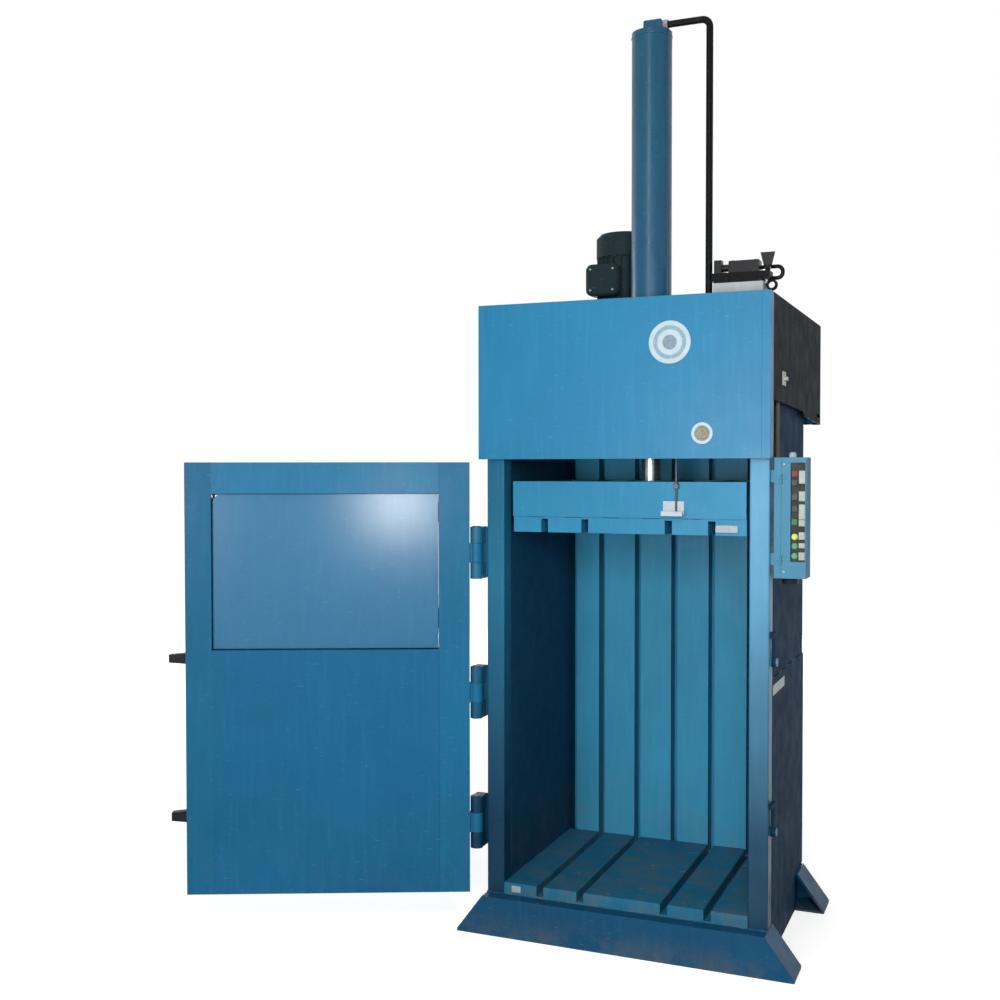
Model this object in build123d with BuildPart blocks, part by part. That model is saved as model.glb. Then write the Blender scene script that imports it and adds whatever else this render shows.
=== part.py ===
"""Vertical hydraulic recycling baler. Millimetres, X right, Y back, Z up.

The origin is on the floor, at the middle of the machine's width, under the front
faces of the two front columns.
"""
from build123d import *
import os
from math import cos, radians, sin

os.makedirs("parts", exist_ok=True)

# Frame and chamber
frame_width = 990
column_width = 65
column_depth = 65
column_wall = 6
chamber_depth = 700
wall_plate = 6
rib_depth = 46
skin_plate = 4
wall_top = 1866
skin_top = 940
skin_ground_gap = 4
rib_bar = 8
rib_gap = 30

# Feet
foot_height = 136
foot_reach = 95
foot_tip_edge = 10
foot_proud = 52
foot_depth = 136
foot_plate = 8
rear_foot_inset = 22

# Strap slots in the floor, the rear wall and the platen
slot_pitch = 148
slot_width = 25
floor_height = 42
floor_plate = 6
rear_channel_depth = 60
rear_plate = 6
rear_corner_gap = 28
rear_rib_depth = 40
rear_rib_height = 80

# Top box
box_top = 2205
cover_bottom = 1672
cover_side_gap = 10
cover_proud = 52
cover_sheet = 3
cover_return = 28
cover_lip = 25
cover_seam = 1
side_cover_edge = [(0, 1862), (598, 1851), (646, 1831)]
side_cover_bottom = 1813
side_lip = 8
box_overhang = 274
deck_bearer = 50
deck_plate = 6

# Crosshead and cylinder
cylinder_offset = 10
crosshead_bottom = 1900
crosshead_height = 160
crosshead_depth = 220
crosshead_wall = 12
cylinder_bore = 120
cylinder_wall = 12.5
cylinder_bottom = 1860
cylinder_top = 3190
flange_side = 250
flange_plate = 30
flange_bolt_pitch = 196
bolt_size = 20
cap_plate = 17
cap_cone_height = 8
cap_cone_radius = 40
cap_boss_left = 24
cap_boss_right = 42
cap_boss_depth = 60
cap_boss_height = 38
cap_port_rise = 21
gland_flange = 165
gland_flange_plate = 30
gland_spigot = 40
rod_diameter = 70
rod_spigot = 45
piston_height = 60
running_clearance = 0.05

# Ram at its place in the picture, and how far it can still rise
platen_bottom = 1417
platen_plate = 55
platen_beam_height = 123
platen_side_gap = 18
platen_end_gap = 60
platen_wall = 8
platen_front_lap = 8
platen_beam_depth = 60
platen_boss = 130
rod_seat = 70
ram_rise = 25

# Door, its hinge line and the angle at which it stands open
door_thickness = 50
door_gap = 2
door_bottom = 148
door_top = 1662
hinge_offset = 29
leaf_start = 24
leaf_end_gap = 4
door_open_angle = 155.6
hinge_stile = 109
latch_stile = 91
door_rail = 109
door_tube_wall = 5
window_bottom = 1007
lug_reach = [60, 54]
lug_bottom = [958, 401]
lug_height = [37, 39]
lug_thickness = 30
knuckle_radius = 22
knuckle_heights = [56, 68, 56]
knuckle_gap = 1
hinge_bottoms = [300, 760, 1253]
hinge_pin = 24
hinge_pin_head = 3

# Loading flap in the door
flap_gap = 2.5
flap_hinge_gap = 1.5
flap_lip = 10
flap_latch_lip = 6
flap_lip_clearance = 0.5
flap_recess = 17
flap_sheet = 3
flap_corner = 32
flap_knuckle = 8
flap_knuckle_height = 32
flap_pin = 8
flap_hinge_heights = [1075, 1450]
bolt_bar = 14
bolt_height = 1280

# Door dogs on the right column
dog_plate = 12
dog_arm = 26
dog_hub = 16
dog_stud = 20
dog_nose = 18
dog_clearance = 2

# Control box beside the right column
control_gap = 13
control_width = 102
control_depth = 100
control_bottom = 1287
control_height = 388
control_hinge_strip = 23
control_knuckle = 4
control_pin = 4
control_hinge_leaf = 1.5
control_hinge_heights = [1330, 1590]
control_knuckle_height = 14
control_door_depth = 22
control_sheet = 2
window_left_margin = 30
window_right_margin = 3
window_sill = 54
window_head = 17
window_recess = 6
panel_plate = 4
button_heights = [1623, 1595, 1548, 1511, 1469]
lamp_heights = [1421, 1391, 1360]
legend_places = [(1612, 41), (1551, 31), (1501, 48), (1465, 20), (1424, 23), (1393, 16), (1359, 25)]
button_size = 18
button_travel = 4
button_proud = 9

# Conduit from the back of the control box up behind the side cover
conduit_diameter = 13
conduit_bend = 16
conduit_y = 165
conduit_top = 1895
conduit_turn = 1610

# Power unit on the deck
motor_x = -162
motor_offset = 200
motor_radius = 95
motor_fin = 10
motor_fins = 22
motor_flange = 125
motor_flange_plate = 14
motor_top = 2440
motor_bore = 30
fan_cover_top = 2530
fan_cover_radius = 107
fan_cover_sheet = 3
shaft_diameter = 28
fan_radius = 84
fan_blades = 8
pump_radius = 90
pump_height = 90
pump_body = 96
pump_body_height = 110
tank_gap = 36
tank_width = 780
tank_height = 290
tank_sheet = 4
stand_left = 239
stand_right = 414
stand_front = 300
stand_depth = 92
stand_height = 86
pipe_diameter = 25
pipe_x = 211
pipe_bend = 28
return_pipe_diameter = 14
hole_clearance = 0.05

# Badges on the front cover, left blank
badge_diameters = [140, 70]
badge_places = [(178, 2052), (286, 1754)]
badge_thickness = 3

# Worked out from the sizes above
half_frame = frame_width / 2
chamber_half = half_frame - column_width
column_bottom = foot_height
deck_top = box_top - cover_sheet
deck_bottom = deck_top - deck_plate
cylinder_y = chamber_depth / 2 + cylinder_offset
motor_y = cylinder_y + motor_offset
platen_depth = chamber_depth - platen_end_gap
rib_outer = chamber_half + wall_plate + rib_depth
frame_rear = chamber_depth + rear_channel_depth + rear_plate
rear_column_depth = rib_depth + 14
box_rear = frame_rear + box_overhang
rear_foot_front = frame_rear - rear_foot_inset - foot_depth
crosshead_top = crosshead_bottom + crosshead_height
cylinder_outer = cylinder_bore + 2 * cylinder_wall
cap_top = cylinder_top + cap_plate
cap_cone_top = cap_top + cap_cone_height
half_cover = half_frame + cover_side_gap
slot_places = [-2 * slot_pitch, -slot_pitch, slot_pitch, 2 * slot_pitch]

platen_half = chamber_half - platen_side_gap
platen_front = cylinder_y - platen_depth / 2
platen_rear = cylinder_y + platen_depth / 2
beam_bottom = platen_bottom + platen_plate
platen_top = beam_bottom + platen_beam_height
rod_bottom = platen_top - rod_seat
piston_top = cylinder_top - 60 - ram_rise + 25
piston_bottom = piston_top - piston_height

hinge_x = -(half_frame + hinge_offset)
hinge_y = -(door_gap + door_thickness / 2)
half_leaf = door_thickness / 2
leaf_end = frame_width + hinge_offset - leaf_end_gap
window_start = leaf_start + hinge_stile
window_end = leaf_end - latch_stile
window_top = door_top - door_rail
hinge_height = sum(knuckle_heights) + 2 * knuckle_gap
leaf_direction = Vector(cos(radians(door_open_angle)), -sin(radians(door_open_angle)), 0)
leaf_inward = Vector(-leaf_direction.Y, leaf_direction.X, 0)
hinge_line = Vector(hinge_x, hinge_y, 0)
leaf_plan = Plane(origin=hinge_line, x_dir=leaf_direction, z_dir=(0, 0, 1))
leaf_face = Plane(origin=hinge_line, x_dir=leaf_direction, z_dir=-leaf_inward)

flap_axis = (window_start, -(half_leaf + flap_knuckle))


def write(piece, name):
    """Label a finished piece and write its file."""
    piece.part.label = name
    export_step(piece.part, f"parts/{name}.step")


def leaf_across(u):
    """Plane across the door leaf: x towards the leaf's inner side, y up."""
    return Plane(origin=hinge_line + leaf_direction * u, x_dir=leaf_inward, z_dir=leaf_direction)


# Front and rear feet: folded trapezoid boxes, open to the inside of the machine
def make_foot(front, opens_back):
    """One foot from its front plane; its open side looks under the chamber."""
    with BuildPart() as foot:
        with BuildSketch(Plane.XZ.offset(-front)):
            with BuildLine():
                Polyline(
                    (-half_frame, foot_height),
                    (half_frame, foot_height),
                    (half_frame + foot_reach, foot_tip_edge),
                    (half_frame + foot_reach, 0),
                    (-half_frame - foot_reach, 0),
                    (-half_frame - foot_reach, foot_tip_edge),
                    close=True,
                )
            make_face()
        extrude(amount=-foot_depth)
        open_side = foot.faces().sort_by(Axis.Y)[-1 if opens_back else 0]
        offset(amount=-foot_plate, openings=open_side)
        with BuildSketch(Plane.YZ):
            with Locations((front + foot_depth / 2, foot_height / 2)):
                Rectangle(foot_depth, foot_height - 2 * foot_plate)
        extrude(amount=foot_plate / 2, both=True)
    return foot


front_foot = make_foot(-foot_proud, True)
write(front_foot, "front_foot")

rear_foot = make_foot(rear_foot_front, False)
write(rear_foot, "rear_foot")


# Chamber floor: planks folded down into strap slots, open underneath
plank_edges = [-chamber_half]
for x in slot_places:
    plank_edges += [x - slot_width / 2, x + slot_width / 2]
plank_edges.append(chamber_half)
floor_planks = list(zip(plank_edges[::2], plank_edges[1::2]))
floor_wall = 8

with BuildPart() as chamber_floor:
    with BuildSketch(Plane.XZ):
        with Locations((0, foot_height + floor_height / 2)):
            Rectangle(2 * chamber_half, floor_height)
        with Locations(*[(x, foot_height + floor_plate + floor_height / 2) for x in slot_places]):
            Rectangle(slot_width, floor_height, mode=Mode.SUBTRACT)
    extrude(amount=-chamber_depth)
    top_edges = chamber_floor.edges().filter_by(Axis.Y).group_by(Axis.Z)[-1]
    chamfer(top_edges.filter_by(lambda edge: abs(edge.center().X) < chamber_half - 1), length=3)
    with BuildSketch(Plane.XY.offset(foot_height)):
        for left, right in floor_planks:
            with Locations(((left + right) / 2, chamber_depth / 2)):
                Rectangle(right - left - 2 * floor_wall, chamber_depth - 2 * floor_wall)
    extrude(amount=floor_height - floor_wall, mode=Mode.SUBTRACT)
write(chamber_floor, "chamber_floor")


# Front columns: square tubes from the foot to the deck
def make_column(centre_x):
    """Hollow column with its front face on the origin plane."""
    with BuildPart() as column:
        with BuildSketch(Plane.XY.offset(column_bottom)):
            with Locations((centre_x, column_depth / 2)):
                RectangleRounded(column_width, column_depth, column_wall)
                Rectangle(column_width - 2 * column_wall, column_depth - 2 * column_wall, mode=Mode.SUBTRACT)
        extrude(amount=deck_bottom - column_bottom)
    return column


column_x = half_frame - column_width / 2
left_tube = make_column(-column_x)
bracket_plate = 12
bracket_front = hinge_y + half_leaf + 15
bracket_edge = knuckle_radius - 3
bracket_taper = 22

with BuildPart() as front_column_left:
    add(left_tube.part)
    for bottom in hinge_bottoms:
        gusset = Plane(origin=(0, bracket_front, bottom), x_dir=(1, 0, 0), z_dir=(0, -1, 0))
        with BuildSketch(gusset):
            with BuildLine():
                Polyline(
                    (hinge_x - bracket_edge, 0),
                    (hinge_x + bracket_edge, 0),
                    (-half_frame, bracket_taper),
                    (-half_frame, hinge_height - bracket_taper),
                    (hinge_x + bracket_edge, hinge_height),
                    (hinge_x - bracket_edge, hinge_height),
                    close=True,
                )
            make_face()
        extrude(amount=-bracket_plate)
        upper_knuckle = bottom + hinge_height - knuckle_heights[2]
        for level, height in [(bottom, knuckle_heights[0]), (upper_knuckle, knuckle_heights[2])]:
            with BuildSketch(Plane.XY.offset(level)):
                with Locations((hinge_x, hinge_y)):
                    Circle(knuckle_radius)
                with Locations((hinge_x, (hinge_y + bracket_front) / 2)):
                    Rectangle(2 * bracket_edge, bracket_front - hinge_y)
                with Locations((hinge_x, hinge_y)):
                    Circle(hinge_pin / 2, mode=Mode.SUBTRACT)
            extrude(amount=height)
write(front_column_left, "front_column_left")

with BuildPart() as hinge_pins:
    for bottom in hinge_bottoms:
        with BuildSketch(Plane.XY.offset(bottom)):
            with Locations((hinge_x, hinge_y)):
                Circle(hinge_pin / 2)
        extrude(amount=hinge_height)
        with BuildSketch(Plane.XY.offset(bottom + hinge_height)):
            with Locations((hinge_x, hinge_y)):
                Circle(hinge_pin / 2 + 3)
        extrude(amount=hinge_pin_head)
write(hinge_pins, "hinge_pins")


# Door dogs: hooks that swing down in front of the door's lugs
dog_left = half_frame + 4
dog_pivot_y = 38
dog_rise = dog_clearance + dog_arm / 2
dog_reach = dog_pivot_y - (hinge_y - lug_thickness / 2) + dog_clearance
dog_pivots = [low + high + dog_rise for low, high in zip(lug_bottom, lug_height)]

right_tube = make_column(column_x)
with BuildPart() as front_column_right:
    add(right_tube.part)
    for pivot in dog_pivots:
        stud_plane = Plane(origin=(half_frame, dog_pivot_y, pivot), x_dir=(0, 1, 0), z_dir=(1, 0, 0))
        with BuildSketch(stud_plane):
            Circle(dog_stud / 2)
        extrude(amount=dog_left - half_frame + dog_plate + 1)
        with BuildSketch(stud_plane.offset(dog_left - half_frame + dog_plate + 1)):
            Circle(dog_stud / 2 + 4)
        extrude(amount=4)
        with BuildSketch(stud_plane):
            Circle(dog_hub)
        extrude(amount=dog_left - half_frame - 1)
write(front_column_right, "front_column_right")


def make_dog(pivot, height):
    """Hook standing up from its pivot, its nose to the front."""
    side = Plane(origin=(dog_left, dog_pivot_y, pivot), x_dir=(0, 1, 0), z_dir=(1, 0, 0))
    nose_depth = dog_arm / 2 + dog_clearance + height * 0.8
    with BuildPart() as dog:
        with BuildSketch(side):
            Circle(dog_hub)
            with Locations((0, (dog_reach + dog_nose) / 2)):
                Rectangle(dog_arm, dog_reach + dog_nose)
            with Locations((-nose_depth / 2, dog_reach + dog_nose / 2)):
                Rectangle(nose_depth, dog_nose)
        extrude(amount=dog_plate)
        fillet(dog.edges().filter_by(Axis.X).group_by(Axis.Z)[-1], radius=6)
        with BuildSketch(side):
            Circle(dog_stud / 2 + running_clearance)
        extrude(amount=dog_plate, mode=Mode.SUBTRACT)
    return dog


door_dog_upper = make_dog(dog_pivots[0], lug_height[0])
write(door_dog_upper, "door_dog_upper")
door_dog_lower = make_dog(dog_pivots[1], lug_height[1])
write(door_dog_lower, "door_dog_lower")


# Side walls: chamber plate and outer skins with flat ribs between them, and a rear column
lower_ribs_z = [340, 610, skin_top - rib_bar]
upper_ribs_z = [1240, 1540, wall_top - rib_bar]
wall_length = frame_rear - column_depth
wall_inner = chamber_half + wall_plate
rear_column_front = frame_rear - rear_column_depth
rib_channel = 6
rear_column_inner = rear_column_depth - 2 * rib_channel
ground_skin = rear_foot_front - foot_depth + foot_proud

with BuildPart() as side_wall_right:
    with BuildSketch(Plane.XY.offset(foot_height)):
        with Locations((chamber_half + wall_plate / 2, column_depth + wall_length / 2)):
            Rectangle(wall_plate, wall_length)
        with Locations((rib_outer - rib_depth / 2, frame_rear - rear_column_depth / 2)):
            Rectangle(rib_depth, rear_column_depth)
            Rectangle(rib_depth - 2 * rib_channel, rear_column_inner, mode=Mode.SUBTRACT)
    extrude(amount=wall_top - foot_height)
    for levels, outer in [(lower_ribs_z, rib_outer), (upper_ribs_z, rib_outer - skin_plate)]:
        with BuildSketch(Plane.XZ.offset(-(column_depth + rib_gap))):
            for level in levels:
                with Locations(((wall_inner + outer) / 2, level + rib_bar / 2)):
                    Rectangle(outer - wall_inner, rib_bar)
        extrude(amount=-(rear_column_front - column_depth - rib_gap))
    with BuildSketch(Plane.XY.offset(skin_top - rib_bar)):
        with Locations((rib_outer - skin_plate / 2, column_depth + wall_length / 2)):
            Rectangle(skin_plate, wall_length)
    extrude(amount=wall_top - skin_top + rib_bar)
    with BuildSketch(Plane.XY.offset(skin_ground_gap)):
        with Locations((rib_outer + skin_plate / 2, foot_depth - foot_proud + ground_skin / 2)):
            Rectangle(skin_plate, ground_skin)
    extrude(amount=foot_height - skin_ground_gap)
    with BuildSketch(Plane.XY.offset(foot_height)):
        with Locations((rib_outer + skin_plate / 2, column_depth + wall_length / 2)):
            Rectangle(skin_plate, wall_length)
    extrude(amount=skin_top - foot_height)
write(side_wall_right, "side_wall_right")

with BuildPart() as side_wall_left:
    mirror(side_wall_right.part, about=Plane.YZ)
write(side_wall_left, "side_wall_left")


# Rear wall: planks with strap channels between them, ribs across the back
plank_start = chamber_half - rear_corner_gap
rear_edges = [-plank_start]
for x in sorted([*slot_places, 0]):
    rear_edges += [x - slot_width / 2, x + slot_width / 2]
rear_edges.append(plank_start)
rear_planks = list(zip(rear_edges[::2], rear_edges[1::2]))
with BuildPart() as rear_wall:
    with BuildSketch(Plane.XY.offset(foot_height)):
        with Locations((0, chamber_depth + rear_channel_depth + rear_plate / 2)):
            Rectangle(2 * chamber_half, rear_plate)
        with Locations((0, chamber_depth + rear_channel_depth / 2)):
            Rectangle(2 * plank_start, rear_channel_depth)
        with Locations(*[(x, chamber_depth + rear_channel_depth / 2) for x in [*slot_places, 0]]):
            Rectangle(slot_width, rear_channel_depth, mode=Mode.SUBTRACT)
        for left, right in rear_planks:
            with Locations(((left + right) / 2, chamber_depth + (rear_channel_depth + rear_plate) / 2)):
                Rectangle(right - left - 2 * rear_plate, rear_channel_depth - rear_plate, mode=Mode.SUBTRACT)
    extrude(amount=wall_top - foot_height)
    for level in [200, 520, 840, 1300, wall_top - rear_rib_height]:
        with BuildSketch(Plane.YZ.offset(-chamber_half)):
            with Locations((frame_rear + rear_rib_depth / 2, level + rear_rib_height / 2)):
                Rectangle(rear_rib_depth, rear_rib_height)
            with Locations((frame_rear + rear_rib_depth / 2 - rib_channel, level + rear_rib_height / 2)):
                Rectangle(rear_rib_depth, rear_rib_height - 2 * rib_channel, mode=Mode.SUBTRACT)
        extrude(amount=2 * chamber_half)
write(rear_wall, "rear_wall")


# Crosshead: box beam across the machine on two side beams, bored for the cylinder
beam_height = crosshead_top - wall_top
with BuildPart() as crosshead:
    with BuildSketch(Plane.YZ.offset(-chamber_half)):
        with Locations((cylinder_y, crosshead_bottom + crosshead_height / 2)):
            Rectangle(crosshead_depth, crosshead_height)
            Rectangle(
                crosshead_depth - 2 * crosshead_wall,
                crosshead_height - 2 * crosshead_wall,
                mode=Mode.SUBTRACT,
            )
    extrude(amount=2 * chamber_half)
    for side in (-1, 1):
        with BuildSketch(Plane.XZ.offset(-column_depth)):
            with Locations((side * (chamber_half + rib_outer) / 2, wall_top + beam_height / 2)):
                Rectangle(rib_outer - chamber_half, beam_height)
                Rectangle(
                    rib_outer - chamber_half - 2 * rib_channel,
                    beam_height - 2 * rib_channel,
                    mode=Mode.SUBTRACT,
                )
        extrude(amount=-wall_length)
        bearer_x = side * (wall_inner + rib_outer) / 2
        with BuildSketch(Plane.XY.offset(crosshead_top)):
            with Locations((bearer_x, frame_rear - rear_column_depth / 2)):
                Rectangle(rib_depth, rear_column_depth)
                Rectangle(rib_depth - 2 * rib_channel, rear_column_inner, mode=Mode.SUBTRACT)
        extrude(amount=deck_bottom - deck_bearer - crosshead_top)
        with BuildSketch(Plane.XZ.offset(-column_depth)):
            with Locations((bearer_x, deck_bottom - deck_bearer / 2)):
                Rectangle(rib_depth, deck_bearer)
                Rectangle(rib_depth - 2 * rib_channel, deck_bearer - 2 * rib_channel, mode=Mode.SUBTRACT)
        extrude(amount=-(box_rear - cover_lip - 5 - column_depth))
    with BuildSketch(Plane.XY.offset(crosshead_bottom)):
        with Locations((0, cylinder_y)):
            Circle(cylinder_outer / 2)
    extrude(amount=crosshead_height, mode=Mode.SUBTRACT)
    with BuildSketch(Plane.XY.offset(crosshead_top)):
        with Locations((0, cylinder_y)):
            with GridLocations(flange_bolt_pitch, flange_bolt_pitch, 2, 2):
                Circle(bolt_size / 2 + hole_clearance)
    extrude(amount=-crosshead_wall, mode=Mode.SUBTRACT)
write(crosshead, "crosshead")


# Cylinder: tube with a square mounting flange, a cap with its port boss, and the rod gland
with BuildPart() as cylinder_tube:
    with BuildSketch(Plane.XY.offset(cylinder_bottom)):
        with Locations((0, cylinder_y)):
            Circle(cylinder_outer / 2)
    extrude(amount=cylinder_top - cylinder_bottom)
    with BuildSketch(Plane.XY.offset(crosshead_top)):
        with Locations((0, cylinder_y)):
            Rectangle(flange_side, flange_side)
        with Locations((0, cylinder_y)):
            with GridLocations(flange_bolt_pitch, flange_bolt_pitch, 2, 2):
                Circle(bolt_size / 2 + hole_clearance, mode=Mode.SUBTRACT)
    extrude(amount=flange_plate)
    with BuildSketch(Plane.XY.offset(cylinder_bottom)):
        with Locations((0, cylinder_y)):
            Circle(cylinder_bore / 2)
    extrude(amount=cylinder_top - cylinder_bottom, mode=Mode.SUBTRACT)
write(cylinder_tube, "cylinder_tube")

port_height = cap_cone_top - 4 + cap_port_rise
boss_middle = (cap_boss_right - cap_boss_left) / 2
with BuildPart() as cylinder_cap:
    with BuildSketch(Plane.XZ.offset(-cylinder_y)):
        with BuildLine():
            Polyline(
                (0, cylinder_top),
                (cylinder_outer / 2, cylinder_top),
                (cylinder_outer / 2, cap_top),
                (cap_cone_radius, cap_cone_top),
                (0, cap_cone_top),
                close=True,
            )
        make_face()
    revolve(axis=Axis((0, cylinder_y, 0), (0, 0, 1)))
    with BuildSketch(Plane.XY.offset(cap_cone_top - 4)):
        with Locations((boss_middle, cylinder_y)):
            Rectangle(cap_boss_left + cap_boss_right, cap_boss_depth)
    extrude(amount=cap_boss_height)
    chamfer(cylinder_cap.edges().group_by(Axis.Z)[-1], length=4)
    with BuildSketch(Plane.YZ.offset(cap_boss_right - 20)):
        with Locations((cylinder_y, port_height)):
            Circle(pipe_diameter / 2 + hole_clearance)
    extrude(amount=30, mode=Mode.SUBTRACT)
write(cylinder_cap, "cylinder_cap")

with BuildPart() as cylinder_gland:
    with BuildSketch(Plane.XY.offset(cylinder_bottom - gland_flange_plate)):
        with Locations((0, cylinder_y)):
            Circle(gland_flange / 2)
    extrude(amount=gland_flange_plate)
    chamfer(cylinder_gland.edges().group_by(Axis.Z)[0], length=6)
    with BuildSketch(Plane.XY.offset(cylinder_bottom)):
        with Locations((0, cylinder_y)):
            Circle(cylinder_bore / 2)
    extrude(amount=gland_spigot)
    with BuildSketch(Plane.XY.offset(cylinder_bottom - gland_flange_plate)):
        with Locations((0, cylinder_y)):
            Circle(rod_diameter / 2 + running_clearance)
    extrude(amount=gland_flange_plate + gland_spigot, mode=Mode.SUBTRACT)
write(cylinder_gland, "cylinder_gland")

with BuildPart() as cylinder_bolts:
    for x in (-flange_bolt_pitch / 2, flange_bolt_pitch / 2):
        for y in (cylinder_y - flange_bolt_pitch / 2, cylinder_y + flange_bolt_pitch / 2):
            with BuildSketch(Plane.XY.offset(crosshead_top + flange_plate)):
                with Locations((x, y)):
                    RegularPolygon(bolt_size * 0.85, 6)
            extrude(amount=bolt_size * 0.65)
            with BuildSketch(Plane.XY.offset(crosshead_top - crosshead_wall)):
                with Locations((x, y)):
                    Circle(bolt_size / 2)
            extrude(amount=crosshead_wall + flange_plate)
write(cylinder_bolts, "cylinder_bolts")

with BuildPart() as piston:
    with BuildSketch(Plane.XY.offset(piston_bottom)):
        with Locations((0, cylinder_y)):
            Circle(cylinder_bore / 2 - running_clearance)
            Circle(rod_spigot / 2, mode=Mode.SUBTRACT)
    extrude(amount=piston_height)
write(piston, "piston")

with BuildPart() as piston_rod:
    with BuildSketch(Plane.XY.offset(rod_bottom)):
        with Locations((0, cylinder_y)):
            Circle(rod_diameter / 2)
    extrude(amount=piston_bottom - rod_bottom)
    with BuildSketch(Plane.XY.offset(piston_bottom)):
        with Locations((0, cylinder_y)):
            Circle(rod_spigot / 2)
    extrude(amount=piston_height)
write(piston_rod, "piston_rod")


# Platen: slotted press plate under a frame of beams, with a socket for the rod
with BuildPart() as platen:
    with BuildSketch(Plane.XZ.offset(-(platen_front + platen_front_lap))):
        with Locations((0, platen_bottom + platen_plate / 2)):
            Rectangle(2 * platen_half, platen_plate)
        with Locations(*[(x, platen_bottom + (platen_plate - platen_wall) / 2) for x in slot_places]):
            Rectangle(slot_width, platen_plate - platen_wall, mode=Mode.SUBTRACT)
    extrude(amount=-(platen_depth - 2 * platen_front_lap))
    for front, facing in [(platen_front, 1), (platen_rear, -1)]:
        with BuildSketch(Plane.YZ.offset(-platen_half)):
            with Locations((front + facing * platen_beam_depth / 2, beam_bottom + platen_beam_height / 2)):
                Rectangle(platen_beam_depth, platen_beam_height)
            with Locations((
                front + facing * (platen_beam_depth / 2 + platen_wall),
                beam_bottom + platen_beam_height / 2,
            )):
                Rectangle(platen_beam_depth, platen_beam_height - 2 * platen_wall, mode=Mode.SUBTRACT)
        extrude(amount=2 * platen_half)
    for x in (-platen_half + 10, -250, -85, 85, 250, platen_half - 10):
        with BuildSketch(Plane.YZ.offset(x)):
            with Locations((cylinder_y, beam_bottom + platen_beam_height / 2)):
                Rectangle(platen_depth - 2 * platen_wall, platen_beam_height)
        extrude(amount=6, both=True)
    with BuildSketch(Plane.XY.offset(beam_bottom)):
        with Locations((0, cylinder_y)):
            Circle(platen_boss / 2)
    extrude(amount=platen_beam_height)
    with BuildSketch(Plane.XY.offset(rod_bottom)):
        with Locations((0, cylinder_y)):
            Circle(rod_diameter / 2)
    extrude(amount=rod_seat, mode=Mode.SUBTRACT)
write(platen, "platen")

shoe_plate = platen_side_gap - 4
with BuildPart() as guide_shoes:
    for side in (-1, 1):
        for y in (platen_front + 150, platen_rear - 150):
            with BuildSketch(Plane.YZ.offset(side * platen_half)):
                with Locations((y, beam_bottom + platen_beam_height / 2)):
                    Rectangle(120, 90)
            extrude(amount=side * shoe_plate)
write(guide_shoes, "guide_shoes")

# Hook for the bale ejector on the front beam: a plate bent forward and up
hook_left = 133
hook_width = 72
hook_bottom = 1481
hook_height = 49
hook_plate = 5
hook_reach = 32
with BuildPart() as ejector_hook:
    with BuildSketch(Plane.YZ.offset(hook_left)):
        with BuildLine():
            Polyline(
                (platen_front, hook_bottom),
                (platen_front, hook_bottom + hook_height),
                (platen_front - hook_plate, hook_bottom + hook_height),
                (platen_front - hook_plate, hook_bottom + hook_plate),
                (platen_front - hook_reach + hook_plate, hook_bottom + hook_plate),
                (platen_front - hook_reach + hook_plate, hook_bottom + 16),
                (platen_front - hook_reach, hook_bottom + 16),
                (platen_front - hook_reach, hook_bottom),
                close=True,
            )
        make_face()
    extrude(amount=hook_width)
write(ejector_hook, "ejector_hook")

# Striker rod of the ram's upper stop switch, clamped to the front beam
striker_x = 179
striker_diameter = 7
striker_y = platen_front - hook_plate - striker_diameter / 2 - 0.5
striker_top = platen_top + 190
with BuildPart() as limit_striker:
    with BuildSketch(Plane.XY.offset(hook_bottom + hook_plate)):
        with Locations((striker_x, striker_y)):
            Circle(striker_diameter / 2)
    extrude(amount=striker_top - hook_bottom - hook_plate)
    with BuildSketch(Plane.XY.offset(platen_top - 22)):
        with Locations((striker_x, (striker_y - 7 + platen_front) / 2)):
            Rectangle(18, platen_front - striker_y + 7)
    extrude(amount=14)
    with BuildSketch(Plane.XY.offset(platen_top - 8)):
        with Locations((striker_x, striker_y)):
            RegularPolygon(7, 6)
    extrude(amount=6)
write(limit_striker, "limit_striker")


# Deck on top of the frame, with holes for the cylinder, the motor shaft and the pipes
half_deck = half_cover - cover_sheet
deck_front = -cover_proud + cover_sheet + cover_seam
deck_rear = box_rear - cover_sheet
with BuildPart() as top_deck:
    with BuildSketch(Plane.XY.offset(deck_bottom)):
        with Locations((0, (deck_front + deck_rear) / 2)):
            Rectangle(2 * half_deck, deck_rear - deck_front)
        with Locations((0, cylinder_y)):
            Circle(cylinder_outer / 2, mode=Mode.SUBTRACT)
        with Locations((motor_x, motor_y)):
            Circle(motor_bore, mode=Mode.SUBTRACT)
        with Locations((pipe_x, cylinder_y)):
            Circle(pipe_diameter / 2 + hole_clearance, mode=Mode.SUBTRACT)
    extrude(amount=deck_plate)
write(top_deck, "top_deck")


# Front cover: flat sheet with folded top and bottom edges and set-back corner strips
front_width = 2 * (half_cover - cover_return)
strip_front = cover_seam - cover_proud
with BuildPart() as front_cover:
    with BuildSketch(Plane.YZ.offset(-front_width / 2)):
        with BuildLine():
            Polyline(
                (-cover_proud, cover_bottom),
                (-cover_proud, box_top),
                (-cover_proud + cover_lip, box_top),
                (-cover_proud + cover_lip, box_top - cover_sheet),
                (-cover_proud + cover_sheet, box_top - cover_sheet),
                (-cover_proud + cover_sheet, cover_bottom + cover_sheet),
                (-cover_proud + cover_lip, cover_bottom + cover_sheet),
                (-cover_proud + cover_lip, cover_bottom),
                close=True,
            )
        make_face()
    extrude(amount=front_width)
    with BuildSketch(Plane.XY.offset(cover_bottom)):
        for side in (-1, 1):
            with Locations((side * (half_cover - cover_return / 2), strip_front + cover_sheet / 2)):
                Rectangle(cover_return, cover_sheet)
            with Locations((side * (half_cover - cover_sheet / 2), strip_front / 2)):
                Rectangle(cover_sheet, -strip_front)
    extrude(amount=box_top - cover_bottom)
write(front_cover, "front_cover")

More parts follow.
